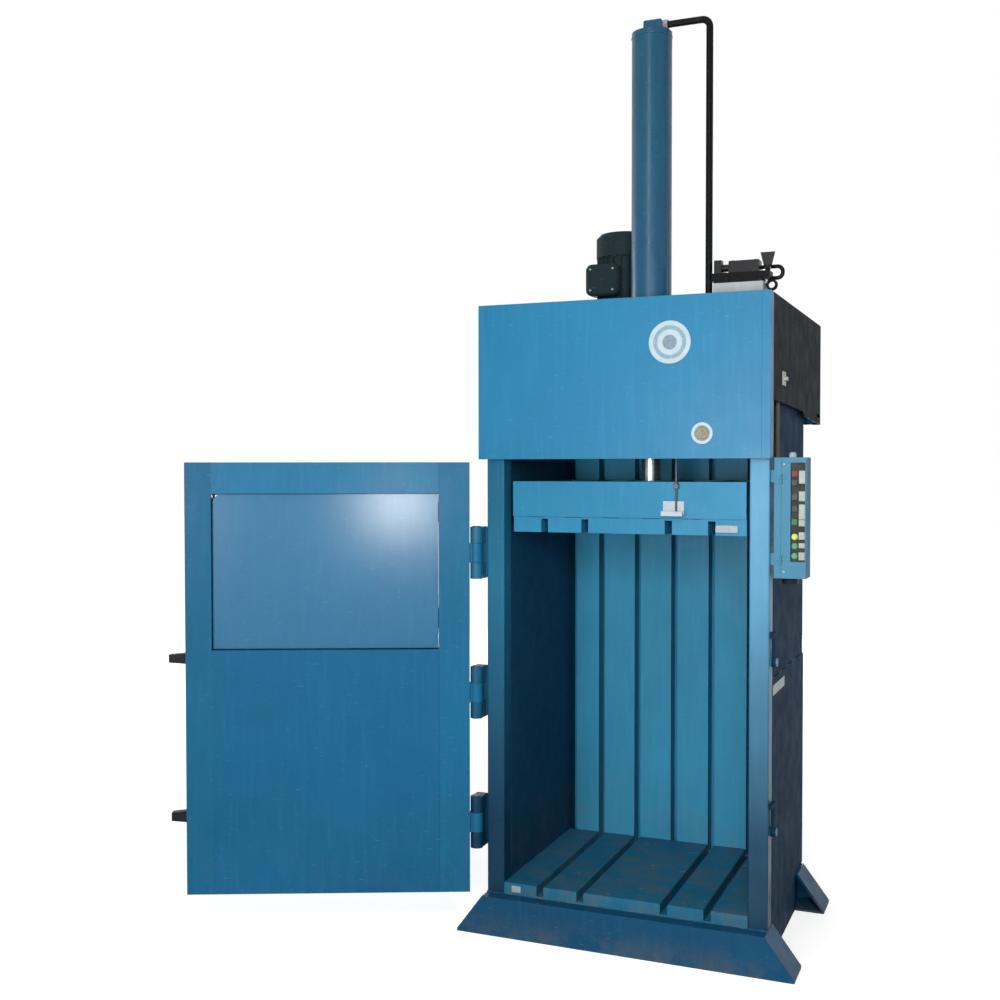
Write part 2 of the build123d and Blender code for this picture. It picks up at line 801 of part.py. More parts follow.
# Side covers: panels with a stepped lower edge, a folded lip and a rear return
lock_y = 181
lock_z = 1939
lip_end = side_cover_edge[1]
with BuildPart() as side_cover_right:
    with BuildSketch(Plane.YZ.offset(half_cover - cover_sheet)):
        with BuildLine():
            Polyline(
                (0, box_top),
                *side_cover_edge,
                (box_rear, side_cover_bottom),
                (box_rear, box_top),
                close=True,
            )
        make_face()
        with Locations((box_rear - 55, side_cover_bottom + 33)):
            SlotOverall(90, 14, mode=Mode.SUBTRACT)
    extrude(amount=cover_sheet)
    with BuildSketch(Plane.XZ.offset(-box_rear)):
        with Locations((half_cover - cover_return / 2, (box_top + side_cover_bottom) / 2)):
            Rectangle(cover_return, box_top - side_cover_bottom)
    extrude(amount=cover_sheet)
    with BuildSketch(Plane.YZ.offset(half_cover - side_lip)):
        with BuildLine():
            Polyline(
                side_cover_edge[0],
                lip_end,
                (lip_end[0], lip_end[1] + cover_sheet),
                (side_cover_edge[0][0], side_cover_edge[0][1] + cover_sheet),
                close=True,
            )
        make_face()
    extrude(amount=side_lip)
    with BuildSketch(Plane.YZ.offset(half_cover - cover_sheet)):
        with Locations((lock_y, lock_z)):
            Circle(11)
    extrude(amount=cover_sheet, mode=Mode.SUBTRACT)
write(side_cover_right, "side_cover_right")

with BuildPart() as side_cover_left:
    mirror(side_cover_right.part, about=Plane.YZ)
write(side_cover_left, "side_cover_left")

with BuildPart() as rear_cover:
    with BuildSketch(Plane.YZ.offset(-front_width / 2)):
        with BuildLine():
            Polyline(
                (box_rear, side_cover_bottom),
                (box_rear, box_top),
                (box_rear - cover_lip, box_top),
                (box_rear - cover_lip, box_top - cover_sheet),
                (box_rear - cover_sheet, box_top - cover_sheet),
                (box_rear - cover_sheet, side_cover_bottom + cover_sheet),
                (box_rear - cover_lip, side_cover_bottom + cover_sheet),
                (box_rear - cover_lip, side_cover_bottom),
                close=True,
            )
        make_face()
    extrude(amount=front_width)
    with BuildSketch(Plane.XZ.offset(-box_rear)):
        with Locations((0, (box_top + side_cover_bottom) / 2)):
            with GridLocations(44, 1, 9, 1):
                Rectangle(12, 180)
    extrude(amount=cover_sheet, mode=Mode.SUBTRACT)
write(rear_cover, "rear_cover")

# Quarter-turn lock on the right side cover
with BuildPart() as cover_lock:
    lock_face = Plane(origin=(half_cover + 0.5, lock_y, lock_z), x_dir=(0, 1, 0), z_dir=(1, 0, 0))
    with BuildSketch(lock_face):
        Rectangle(46, 46)
    extrude(amount=5)
    with BuildSketch(lock_face.offset(5)):
        Rectangle(30, 12)
    extrude(amount=9)
    with BuildSketch(lock_face.offset(-0.5 - cover_sheet - 10)):
        Circle(11 - running_clearance)
    extrude(amount=0.5 + cover_sheet + 10)
    with BuildSketch(lock_face.offset(-0.5 - cover_sheet - 14)):
        with Locations((0, -12)):
            Rectangle(18, 44)
    extrude(amount=4)
write(cover_lock, "cover_lock")

with BuildPart() as badges:
    for diameter, (x, z) in zip(badge_diameters, badge_places):
        badge_face = Plane(origin=(x, -cover_proud, z), x_dir=(1, 0, 0), z_dir=(0, -1, 0))
        with BuildSketch(badge_face):
            Circle(diameter / 2)
        extrude(amount=badge_thickness)
        with BuildSketch(badge_face.offset(badge_thickness)):
            Circle(diameter / 2 - 5)
        extrude(amount=-1, mode=Mode.SUBTRACT)
write(badges, "badges")


# Door leaf, made in its open place from planes on the hinge line
def leaf_tube(start, end, bottom, top, inner=half_leaf):
    """Upright door tube, closed at its top end."""
    with BuildPart() as tube:
        with BuildSketch(leaf_plan.offset(bottom)):
            with Locations(((start + end) / 2, (inner - half_leaf) / 2)):
                Rectangle(end - start, inner + half_leaf)
        extrude(amount=top - bottom)
        with BuildSketch(leaf_plan.offset(bottom)):
            with Locations(((start + end) / 2, (inner - half_leaf) / 2)):
                Rectangle(end - start - 2 * door_tube_wall, inner + half_leaf - 2 * door_tube_wall)
        extrude(amount=top - bottom - door_tube_wall, mode=Mode.SUBTRACT)
    return tube


hinge_tube = leaf_tube(leaf_start, window_start, door_bottom, door_top)
with BuildPart() as door_hinge_stile:
    add(hinge_tube.part)
    for bottom in hinge_bottoms:
        with BuildSketch(leaf_plan.offset(bottom + knuckle_heights[0] + knuckle_gap)):
            Circle(knuckle_radius)
            with Locations((leaf_start / 2, 0)):
                Rectangle(leaf_start, 2 * knuckle_radius - 14)
            Circle(hinge_pin / 2 + running_clearance, mode=Mode.SUBTRACT)
        extrude(amount=knuckle_heights[1])
    for level in flap_hinge_heights:
        with BuildSketch(leaf_plan.offset(level)):
            with Locations(flap_axis):
                Circle(flap_knuckle)
            with Locations((window_start - 22, -half_leaf - flap_sheet / 2)):
                Rectangle(44, flap_sheet)
        extrude(amount=flap_knuckle_height)
        with BuildSketch(leaf_plan.offset(level + flap_knuckle_height)):
            with Locations(flap_axis):
                Circle(flap_pin / 2)
        extrude(amount=flap_knuckle_height + 6)
write(door_hinge_stile, "door_hinge_stile")

bolt_line = -(half_leaf + bolt_bar / 2 + 4.5)
keeper_start = window_end + 8
latch_tube = leaf_tube(window_end, leaf_end, door_bottom, door_top)
with BuildPart() as door_latch_stile:
    add(latch_tube.part)
    for reach, low, height in zip(lug_reach, lug_bottom, lug_height):
        with BuildSketch(leaf_face.offset(-lug_thickness / 2)):
            with BuildLine():
                Polyline(
                    (leaf_end, low),
                    (leaf_end + reach, low + 5),
                    (leaf_end + reach, low + height - 5),
                    (leaf_end, low + height),
                    close=True,
                )
            make_face()
        extrude(amount=lug_thickness)
    with BuildSketch(leaf_across(keeper_start)):
        with Locations((bolt_line, bolt_height)):
            Rectangle(bolt_bar + 12, 44)
            Circle(bolt_bar / 2 + 0.5, mode=Mode.SUBTRACT)
    extrude(amount=30)
write(door_latch_stile, "door_latch_stile")

with BuildPart() as door_top_rail:
    with BuildSketch(leaf_across(window_start)):
        with Locations((0, (window_top + door_top) / 2)):
            Rectangle(door_thickness, door_rail)
            Rectangle(door_thickness - 2 * door_tube_wall, door_rail - 2 * door_tube_wall, mode=Mode.SUBTRACT)
    extrude(amount=window_end - window_start)
write(door_top_rail, "door_top_rail")

lower_rib_height = 60
lower_rib_depth = door_thickness - door_tube_wall
lower_ribs = [door_bottom, 400, 674, window_bottom - lower_rib_height]
with BuildPart() as door_lower_panel:
    with BuildSketch(leaf_face.offset(-half_leaf)):
        with Locations(((window_start + window_end) / 2, (door_bottom + window_bottom) / 2)):
            Rectangle(window_end - window_start, window_bottom - door_bottom)
    extrude(amount=door_tube_wall)
    for level in lower_ribs:
        with BuildSketch(leaf_across(window_start)):
            with Locations((-door_tube_wall / 2, level + lower_rib_height / 2)):
                Rectangle(lower_rib_depth, lower_rib_height)
            with Locations((door_tube_wall / 2, level + lower_rib_height / 2)):
                Rectangle(lower_rib_depth, lower_rib_height - 2 * door_tube_wall, mode=Mode.SUBTRACT)
        extrude(amount=window_end - window_start)
write(door_lower_panel, "door_lower_panel")


# Loading flap: folded tray with a lip round the opening and flat ribs, hung on the hinge stile
flap_start = window_start + flap_hinge_gap
flap_end = window_end - flap_gap
flap_bottom = window_bottom + flap_gap
flap_top = window_top - flap_gap
flap_inner = half_leaf - flap_recess
flap_outer = half_leaf + flap_lip_clearance + flap_sheet
flap_middle = ((flap_start + flap_end) / 2, (flap_bottom + flap_top) / 2)
guide_places = [flap_end - 104, flap_end - 30]
guide_width = 14
handle_width = 12
bolt_web = flap_end - guide_places[0] + 14

with BuildPart() as loading_flap:
    with BuildSketch(leaf_face.offset(-flap_inner)):
        with Locations(flap_middle):
            Rectangle(flap_end - flap_start, flap_top - flap_bottom)
    extrude(amount=flap_inner + flap_outer)
    across_edges = loading_flap.edges().filter_by(Axis(hinge_line, leaf_inward)).sort_by(
        lambda edge: (edge.center() - hinge_line).dot(leaf_direction)
    )
    fillet(across_edges[-2:].sort_by(Axis.Z)[-1:], radius=flap_corner)
    outer_face = loading_flap.faces().sort_by(lambda face: face.center().dot(-leaf_inward))[-1]
    offset(amount=-flap_sheet, openings=outer_face)
    with BuildSketch(leaf_face.offset(half_leaf + flap_lip_clearance)):
        with BuildLine():
            Polyline(
                (flap_start, window_bottom - flap_lip),
                (window_end + flap_latch_lip, window_bottom - flap_lip),
                (window_end + flap_latch_lip, window_top + flap_lip),
                (flap_start, window_top + flap_lip),
                close=True,
            )
        make_face()
        with Locations(flap_middle):
            Rectangle(
                flap_end - flap_start - 2 * flap_sheet,
                flap_top - flap_bottom - 2 * flap_sheet,
                mode=Mode.SUBTRACT,
            )
    extrude(amount=flap_sheet)
    for level, height in [(flap_bottom + 110, 40), (bolt_height - 30, 60), (flap_top - 150, 40)]:
        with BuildSketch(leaf_across(flap_start)):
            for edge_level in (level, level + height - flap_sheet):
                with Locations(((flap_inner - half_leaf) / 2, edge_level + flap_sheet / 2)):
                    Rectangle(half_leaf + flap_inner, flap_sheet)
        extrude(amount=flap_end - flap_start)
    with BuildSketch(leaf_across(flap_end - bolt_web)):
        with Locations((-half_leaf + flap_sheet / 2, bolt_height)):
            Rectangle(flap_sheet, 60)
    extrude(amount=bolt_web)
    for place in guide_places:
        with BuildSketch(leaf_across(place)):
            with Locations((bolt_line, bolt_height)):
                Rectangle(bolt_bar + 12, 40)
                Circle(bolt_bar / 2 + running_clearance, mode=Mode.SUBTRACT)
        extrude(amount=guide_width)
    for level in flap_hinge_heights:
        with BuildSketch(leaf_plan.offset(level - 1)):
            with Locations((window_start + flap_knuckle / 2, -half_leaf - flap_knuckle + 0.5)):
                Rectangle(flap_knuckle + 3, 2 * flap_knuckle)
        extrude(amount=flap_knuckle_height + 1.5, mode=Mode.SUBTRACT)
        with BuildSketch(leaf_plan.offset(level + flap_knuckle_height + 1)):
            with Locations(flap_axis):
                Circle(flap_knuckle)
            with Locations((window_start + 22, -half_leaf - flap_sheet / 2)):
                Rectangle(44, flap_sheet)
            with Locations(flap_axis):
                Circle(flap_pin / 2 + running_clearance, mode=Mode.SUBTRACT)
        extrude(amount=flap_knuckle_height)
write(loading_flap, "loading_flap")

with BuildPart() as flap_bolt:
    with BuildSketch(leaf_across(guide_places[0] - 12)):
        with Locations((bolt_line, bolt_height)):
            Circle(bolt_bar / 2)
    extrude(amount=keeper_start - 4 - guide_places[0] + 12)
    with BuildSketch(leaf_across(guide_places[0] + guide_width + 6)):
        with Locations((bolt_line - 20, bolt_height)):
            Rectangle(40, 10)
    extrude(amount=handle_width)
write(flap_bolt, "flap_bolt")


# Control box on the outside of the right column
control_left = half_frame + control_gap
control_right = control_left + control_width
control_top = control_bottom + control_height
control_split = control_left + control_hinge_strip
control_middle = control_bottom + control_height / 2
control_hinge_y = -control_knuckle - 0.2
conduit_entry_x = control_left + 22
with BuildPart() as control_box:
    with BuildSketch(Plane.XY.offset(control_bottom)):
        with BuildLine():
            Polyline(
                (control_left, 0),
                (control_split, 0),
                (control_split, control_door_depth + 0.5),
                (control_right, control_door_depth + 0.5),
                (control_right, control_depth),
                (control_left, control_depth),
                close=True,
            )
        make_face()
    extrude(amount=control_height)
    right_edges = control_box.edges().filter_by(Axis.Z).sort_by(Axis.X)[-2:]
    fillet(right_edges.sort_by(Axis.Y)[-1:], radius=8)
    with BuildSketch(Plane.XZ.offset(-(control_door_depth + 0.5))):
        with Locations(((control_split + control_right) / 2 + 1, control_middle)):
            Rectangle(control_right - control_split - 12, control_height - 12)
    extrude(amount=-(control_depth - control_door_depth - 0.5 - control_sheet), mode=Mode.SUBTRACT)
    for level in (control_bottom + 40, control_top - 80):
        with BuildSketch(Plane.YZ.offset(half_frame)):
            with Locations((column_depth / 2, level + 20)):
                Rectangle(34, 40)
        extrude(amount=control_left - half_frame)
    with BuildSketch(Plane.XZ.offset(-(control_depth - control_sheet))):
        with Locations((conduit_entry_x, conduit_turn)):
            Circle(conduit_diameter / 2 + hole_clearance)
    extrude(amount=-control_sheet, mode=Mode.SUBTRACT)
    for level in control_hinge_heights:
        with BuildSketch(Plane.XY.offset(level)):
            with Locations((control_split - 8, -control_hinge_leaf / 2)):
                Rectangle(16, control_hinge_leaf)
            with Locations((control_split, control_hinge_y)):
                Circle(control_knuckle)
        extrude(amount=control_knuckle_height)
        with BuildSketch(Plane.XY.offset(level + control_knuckle_height)):
            with Locations((control_split, control_hinge_y)):
                Circle(control_pin / 2)
        extrude(amount=control_knuckle_height + 1.5)
write(control_box, "control_box")

window_left = control_split + window_left_margin
window_right = control_right - window_right_margin
window_low = control_bottom + window_sill
window_high = control_top - window_head
window_centre = ((window_left + window_right) / 2, (window_low + window_high) / 2)
door_left = control_split + 0.5
with BuildPart() as control_door:
    with BuildSketch(Plane.XY.offset(control_bottom)):
        with Locations(((door_left + control_right) / 2, control_door_depth / 2)):
            Rectangle(control_right - door_left, control_door_depth)
    extrude(amount=control_height)
    back_face = control_door.faces().sort_by(Axis.Y)[-1]
    offset(amount=-control_sheet, openings=back_face)
    with BuildSketch(Plane.XZ):
        with Locations(window_centre):
            Rectangle(window_right - window_left, window_high - window_low)
    extrude(amount=-control_sheet, mode=Mode.SUBTRACT)
    for level in control_hinge_heights:
        with BuildSketch(Plane.XY.offset(level + control_knuckle_height + 0.5)):
            with Locations((control_split + 8.5, -control_hinge_leaf / 2)):
                Rectangle(15, control_hinge_leaf)
            with Locations((control_split + 2, control_hinge_y / 2)):
                Rectangle(4, -control_hinge_y)
            with Locations((control_split, control_hinge_y)):
                Circle(control_knuckle)
                Circle(control_pin / 2 + running_clearance, mode=Mode.SUBTRACT)
        extrude(amount=control_knuckle_height)
write(control_door, "control_door")

button_x = window_left + 12.5
legend_x = window_right - 11.5
legend_width = 19
panel_centre = window_centre
with BuildPart() as button_panel:
    with BuildSketch(Plane.XZ.offset(-control_sheet)):
        with Locations(panel_centre):
            Rectangle(window_right - window_left + 2, window_high - window_low + 10)
            Rectangle(window_right - window_left, window_high - window_low, mode=Mode.SUBTRACT)
    extrude(amount=-window_recess)
    with BuildSketch(Plane.XZ.offset(-(control_sheet + window_recess))):
        with Locations(panel_centre):
            Rectangle(window_right - window_left + 2, window_high - window_low + 10)
        with Locations(*[(button_x, z) for z in button_heights]):
            Rectangle(button_size - 4 + 0.6, button_size - 4 + 0.6, mode=Mode.SUBTRACT)
    extrude(amount=-panel_plate)
write(button_panel, "button_panel")

panel_front = control_sheet + window_recess
with BuildPart() as legend_plates:
    with BuildSketch(Plane.XZ.offset(-(panel_front - 1.5))):
        for z, height in legend_places:
            with Locations((legend_x, z)):
                Rectangle(legend_width, height)
    extrude(amount=-1.5)
write(legend_plates, "legend_plates")

with BuildPart() as pilot_lamps:
    for z in lamp_heights:
        with BuildSketch(Plane.XZ.offset(-panel_front)):
            with Locations((button_x, z)):
                Circle(10)
        extrude(amount=3)
        with BuildSketch(Plane.XZ.offset(-(panel_front - 3))):
            with Locations((button_x, z)):
                Circle(8)
        extrude(amount=3)
write(pilot_lamps, "pilot_lamps")


def make_button(z):
    """Square push button: a cap in front of the panel on a stem through it."""
    stem = button_size - 4
    cap_back = panel_front - button_travel - 0.4
    with BuildPart() as button:
        with BuildSketch(Plane.XZ.offset(-cap_back)):
            with Locations((button_x, z)):
                Rectangle(button_size, button_size)
        extrude(amount=button_proud - button_travel)
        with BuildSketch(Plane.XZ.offset(-cap_back)):
            with Locations((button_x, z)):
                Rectangle(stem, stem)
        extrude(amount=-(button_travel + 0.4 + panel_plate + 1))
    return button


for number, z in enumerate(button_heights, start=1):
    push_button = make_button(z)
    write(push_button, f"push_button_{number}")

# Cable glands under, on top of and behind the control box
gland_x = (control_left + control_right) / 2
gland_y = control_depth / 2
with BuildPart() as cable_glands:
    with BuildSketch(Plane(origin=(gland_x - 5, gland_y, control_bottom), x_dir=(1, 0, 0), z_dir=(0, 0, -1))):
        Circle(29)
    extrude(amount=20, taper=12)
    with BuildSketch(Plane.XY.offset(control_top)):
        with Locations((gland_x, gland_y)):
            Circle(12)
    extrude(amount=11)
    with BuildSketch(Plane.XY.offset(control_top + 11)):
        with Locations((gland_x, gland_y)):
            Circle(12)
    extrude(amount=6, taper=35)
    with BuildSketch(Plane.XZ.offset(-control_depth)):
        with Locations((conduit_entry_x, conduit_turn)):
            RegularPolygon(11, 6)
            Circle(conduit_diameter / 2 + hole_clearance, mode=Mode.SUBTRACT)
    extrude(amount=-12)
write(cable_glands, "cable_glands")

conduit_wall_x = rib_outer + conduit_diameter / 2 + 1
with BuildPart() as control_conduit:
    with BuildLine() as conduit_path:
        FilletPolyline(
            (conduit_entry_x, control_depth - control_sheet, conduit_turn),
            (conduit_entry_x, conduit_y, conduit_turn),
            (conduit_wall_x, conduit_y, conduit_turn),
            (conduit_wall_x, conduit_y, conduit_top),
            radius=conduit_bend,
        )
    with BuildSketch(conduit_path.line ^ 0):
        Circle(conduit_diameter / 2)
    sweep()
write(control_conduit, "control_conduit")


# Hydraulic pipes: the feed to the top of the cylinder and the bent return pipe
with BuildPart() as feed_pipe:
    with BuildLine() as feed_path:
        FilletPolyline(
            (cap_boss_right - 20, cylinder_y, port_height),
            (pipe_x, cylinder_y, port_height),
            (pipe_x, cylinder_y, deck_bottom - 60),
            radius=pipe_bend,
        )
    with BuildSketch(feed_path.line ^ 0):
        Circle(pipe_diameter / 2)
    sweep()
write(feed_pipe, "feed_pipe")

# Valve group on its stand: a base bar with a coil, a hand valve and a return loop
stand_middle_y = stand_front + stand_depth / 2
manifold_bottom = deck_top + stand_height
manifold_left = 230
manifold_right = 434
manifold_depth = 64
manifold_base = 7
manifold_height = 37
manifold_top = manifold_bottom + manifold_height
coil_left = 290
coil_right = 395
coil_height = 41
return_y = stand_middle_y + 19
return_high = manifold_top + 19
return_low = manifold_top - 21
return_far = 470
return_radius = 18
pipe_seat = 6
with BuildPart() as return_pipe:
    with BuildLine() as return_path:
        FilletPolyline(
            (coil_right - pipe_seat, return_y, return_high),
            (return_far, return_y, return_high),
            (return_far, return_y, return_low),
            (manifold_right - pipe_seat, return_y, return_low),
            radius=return_radius,
        )
    with BuildSketch(return_path.line ^ 0):
        RegularPolygon(return_pipe_diameter / 2, 12)
    sweep()
write(return_pipe, "return_pipe")

with BuildPart() as pipe_fittings:
    with BuildSketch(Plane.YZ.offset(cap_boss_right)):
        with Locations((cylinder_y, port_height)):
            RegularPolygon(pipe_diameter / 2 + 6, 6)
            Circle(pipe_diameter / 2 + hole_clearance, mode=Mode.SUBTRACT)
    extrude(amount=18)
    with BuildSketch(Plane.XY.offset(deck_top)):
        with Locations((pipe_x, cylinder_y)):
            RegularPolygon(pipe_diameter / 2 + 6, 6)
            Circle(pipe_diameter / 2 + hole_clearance, mode=Mode.SUBTRACT)
    extrude(amount=22)
write(pipe_fittings, "pipe_fittings")

with BuildPart() as valve_stand:
    with BuildSketch(Plane.XY.offset(deck_top)):
        with Locations(((stand_left + stand_right) / 2, stand_middle_y)):
            Rectangle(stand_right - stand_left, stand_depth)
    extrude(amount=stand_height)
    offset(amount=-3, openings=valve_stand.faces().sort_by(Axis.Z)[0])
write(valve_stand, "valve_stand")

eye_x = manifold_right + 2
eye_z = manifold_bottom - 10
handle_x = 424
handle_y = stand_middle_y - 14
with BuildPart() as valve_manifold:
    with BuildSketch(Plane.XY.offset(manifold_bottom)):
        with Locations(((stand_left + 405) / 2, stand_middle_y)):
            Rectangle(405 - stand_left, manifold_depth)
    extrude(amount=manifold_base)
    with BuildSketch(Plane.XY.offset(manifold_bottom + manifold_base)):
        with Locations(((manifold_left + manifold_right) / 2, stand_middle_y)):
            Rectangle(manifold_right - manifold_left, manifold_depth)
    extrude(amount=manifold_height - manifold_base)
    with BuildSketch(Plane.XZ.offset(-(stand_middle_y - 6))):
        with Locations((eye_x, eye_z)):
            Circle(20)
            Circle(11, mode=Mode.SUBTRACT)
    extrude(amount=-12)
    with BuildSketch(Plane.YZ.offset(manifold_right - pipe_seat)):
        with Locations((return_y, return_low)):
            Circle(return_pipe_diameter / 2 + hole_clearance)
    extrude(amount=2 * pipe_seat, mode=Mode.SUBTRACT)
    with BuildSketch(Plane.XY.offset(manifold_top)):
        with Locations((handle_x, handle_y)):
            Circle(9)
    extrude(amount=11)
write(valve_manifold, "valve_manifold")

with BuildPart() as solenoid_valve:
    with BuildSketch(Plane.XY.offset(manifold_top)):
        with Locations((249, stand_middle_y)):
            Rectangle(26, 36)
    extrude(amount=48)
    with BuildSketch(Plane.XY.offset(manifold_top)):
        with Locations(((coil_left + coil_right) / 2, stand_middle_y)):
            Rectangle(coil_right - coil_left, 58)
    extrude(amount=coil_height)
    chamfer(solenoid_valve.edges().filter_by(Axis.X).group_by(Axis.Z)[-1], length=4)
    with BuildSketch(Plane.YZ.offset(262)):
        with Locations((stand_middle_y, manifold_top + coil_height / 2)):
            Circle(13)
    extrude(amount=coil_left - 262)
    with BuildSketch(Plane.YZ.offset(coil_right - pipe_seat)):
        with Locations((return_y, return_high)):
            Circle(return_pipe_diameter / 2 + hole_clearance)
    extrude(amount=2 * pipe_seat, mode=Mode.SUBTRACT)
write(solenoid_valve, "solenoid_valve")

handle_bottom = manifold_top + 11.5
with BuildPart() as valve_handle:
    with BuildSketch(Plane.XY.offset(handle_bottom)):
        with Locations((handle_x, handle_y)):
            Circle(11)
    extrude(amount=10)
    with BuildSketch(Plane.XZ.offset(-(handle_y - 4))):
        with Locations((handle_x, handle_bottom + 31)):
            Trapezoid(50, 46, 76, rotation=180)
    extrude(amount=-8)
write(valve_handle, "valve_handle")


# Motor: finned body on a flange, fan cover with a grille, fan on the shaft, terminal box
motor_bottom = deck_top
with BuildPart() as motor_body:
    with BuildSketch(Plane.XY.offset(motor_bottom)):
        with Locations((motor_x, motor_y)):
            Circle(motor_flange)
    extrude(amount=motor_flange_plate)
    with BuildSketch(Plane.XY.offset(motor_bottom + motor_flange_plate)):
        with Locations((motor_x, motor_y)):
            Circle(motor_radius)
        with Locations((motor_x, motor_y)):
            with PolarLocations(motor_radius + motor_fin / 2 - 1, motor_fins):
                Rectangle(motor_fin + 2, 4)
    extrude(amount=motor_top - motor_bottom - motor_flange_plate)
    with BuildSketch(Plane.XY.offset(motor_bottom)):
        with Locations((motor_x, motor_y)):
            Circle(motor_bore / 2)
    extrude(amount=motor_top - motor_bottom, mode=Mode.SUBTRACT)
write(motor_body, "motor_body")

grille_slots = 16
with BuildPart() as motor_fan_cover:
    with BuildSketch(Plane.XY.offset(motor_top)):
        with Locations((motor_x, motor_y)):
            Circle(fan_cover_radius)
    extrude(amount=fan_cover_top - motor_top)
    chamfer(motor_fan_cover.edges().group_by(Axis.Z)[-1], length=16)
    offset(amount=-fan_cover_sheet, openings=motor_fan_cover.faces().sort_by(Axis.Z)[0])
    with BuildSketch(Plane.XY.offset(fan_cover_top - fan_cover_sheet)):
        with Locations((motor_x, motor_y)):
            with PolarLocations(56, grille_slots):
                Rectangle(44, 7)
    extrude(amount=fan_cover_sheet, mode=Mode.SUBTRACT)
write(motor_fan_cover, "motor_fan_cover")

fan_bottom = motor_top + 12
with BuildPart() as motor_fan:
    with BuildSketch(Plane.XY.offset(deck_bottom - 70)):
        with Locations((motor_x, motor_y)):
            Circle(shaft_diameter / 2)
    extrude(amount=fan_bottom - deck_bottom + 70)
    with BuildSketch(Plane.XY.offset(fan_bottom)):
        with Locations((motor_x, motor_y)):
            Circle(26)
            with PolarLocations(26 + (fan_radius - 26) / 2 - 2, fan_blades):
                Rectangle(fan_radius - 26 + 4, 4)
    extrude(amount=44)
write(motor_fan, "motor_fan")

with BuildPart() as motor_terminal_box:
    with BuildSketch(Plane.XZ.offset(-(motor_y - motor_radius - motor_fin - 48))):
        with Locations((-206, 2344)):
            RectangleRounded(126, 118, 24)
    extrude(amount=-(48 + motor_fin))
    chamfer(motor_terminal_box.edges().group_by(Axis.Y)[0], length=8)
    with BuildSketch(Plane.XY.offset(2284)):
        with Locations((motor_x, motor_y)):
            Circle(motor_radius + motor_fin + running_clearance)
    extrude(amount=130, mode=Mode.SUBTRACT)
    with BuildSketch(Plane.XZ.offset(-(motor_y - motor_radius - motor_fin - 2))):
        with Locations((motor_x, 2344)):
            Rectangle(40, 80)
    extrude(amount=-(motor_fin + 12))
    with BuildSketch(Plane.XY.offset(2284)):
        with Locations((motor_x, motor_y)):
            Circle(motor_radius + motor_fin + running_clearance)
    extrude(amount=130, mode=Mode.SUBTRACT)
write(motor_terminal_box, "motor_terminal_box")

pump_top = deck_bottom
with BuildPart() as hydraulic_pump:
    with BuildSketch(Plane.XY.offset(pump_top - pump_height)):
        with Locations((motor_x, motor_y)):
            Circle(pump_radius)
    extrude(amount=pump_height)
    with BuildSketch(Plane.XY.offset(pump_top - pump_height + 12)):
        with Locations((motor_x, motor_y)):
            Circle(motor_bore)
    extrude(amount=pump_height - 12, mode=Mode.SUBTRACT)
    with BuildSketch(Plane.XY.offset(pump_top - pump_height - pump_body_height)):
        with Locations((motor_x, motor_y)):
            Rectangle(pump_body, pump_body)
    extrude(amount=pump_body_height)
write(hydraulic_pump, "hydraulic_pump")

tank_front = frame_rear + tank_gap
tank_rear = deck_rear
with BuildPart() as oil_tank:
    with BuildSketch(Plane.XY.offset(deck_bottom - tank_height)):
        with Locations((0, (tank_front + tank_rear) / 2)):
            Rectangle(tank_width, tank_rear - tank_front)
    extrude(amount=tank_height)
    offset(amount=-tank_sheet, openings=oil_tank.faces().sort_by(Axis.Z)[-1])
write(oil_tank, "oil_tank")
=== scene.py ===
"""Looks of the vertical recycling baler. Metres, X right, Y back, Z up."""
from math import cos, pi, radians, sin

import bmesh
import bpy
from mathutils import Matrix, Vector


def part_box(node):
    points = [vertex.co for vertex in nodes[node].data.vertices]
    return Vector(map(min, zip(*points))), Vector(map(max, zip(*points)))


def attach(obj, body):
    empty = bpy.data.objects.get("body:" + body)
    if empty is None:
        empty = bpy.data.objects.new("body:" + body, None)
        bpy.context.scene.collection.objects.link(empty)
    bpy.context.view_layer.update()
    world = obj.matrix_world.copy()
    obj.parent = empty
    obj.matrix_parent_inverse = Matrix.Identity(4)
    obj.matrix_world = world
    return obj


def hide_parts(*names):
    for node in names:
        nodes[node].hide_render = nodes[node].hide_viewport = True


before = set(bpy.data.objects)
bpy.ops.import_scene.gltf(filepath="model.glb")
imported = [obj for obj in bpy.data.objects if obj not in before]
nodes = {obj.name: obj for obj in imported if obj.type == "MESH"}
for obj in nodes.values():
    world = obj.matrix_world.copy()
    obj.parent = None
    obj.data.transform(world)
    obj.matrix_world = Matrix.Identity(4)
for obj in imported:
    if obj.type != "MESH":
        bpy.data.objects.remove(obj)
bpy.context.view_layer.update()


def tone(red, green, blue):
    """Linear colour from 0-255 display values."""
    def linear(value):
        value /= 255
        return value / 12.92 if value <= 0.04045 else ((value + 0.055) / 1.055) ** 2.4
    return (linear(red), linear(green), linear(blue), 1.0)


# Camera at the photograph's place
yaw, pitch, roll = radians(22.7438), radians(1.5069), radians(-0.0427)
forward = Vector((-sin(yaw) * cos(pitch), cos(yaw) * cos(pitch), -sin(pitch)))
level = Vector((cos(yaw), sin(yaw), 0))
upright = level.cross(forward)
right = level * cos(roll) + upright * sin(roll)
top = upright * cos(roll) - level * sin(roll)
camera = bpy.data.objects.new("camera", bpy.data.cameras.new("camera"))
bpy.context.scene.collection.objects.link(camera)
camera.matrix_world = Matrix((
    (right.x, top.x, -forward.x, 1.2093),
    (right.y, top.y, -forward.y, -3.947),
    (right.z, top.z, -forward.z, 1.64195),
    (0, 0, 0, 1),
))
camera.data.sensor_width = 36
camera.data.lens = 43.8727
camera.data.clip_end = 100
bpy.context.scene.camera = camera
bpy.context.scene.view_settings.view_transform = "Standard"


def lighter(colour, factor, lift):
    """A colour scaled up and lifted, kept within 1."""
    return tuple(min(1, c * factor + lift) for c in colour[:3]) + (1,)


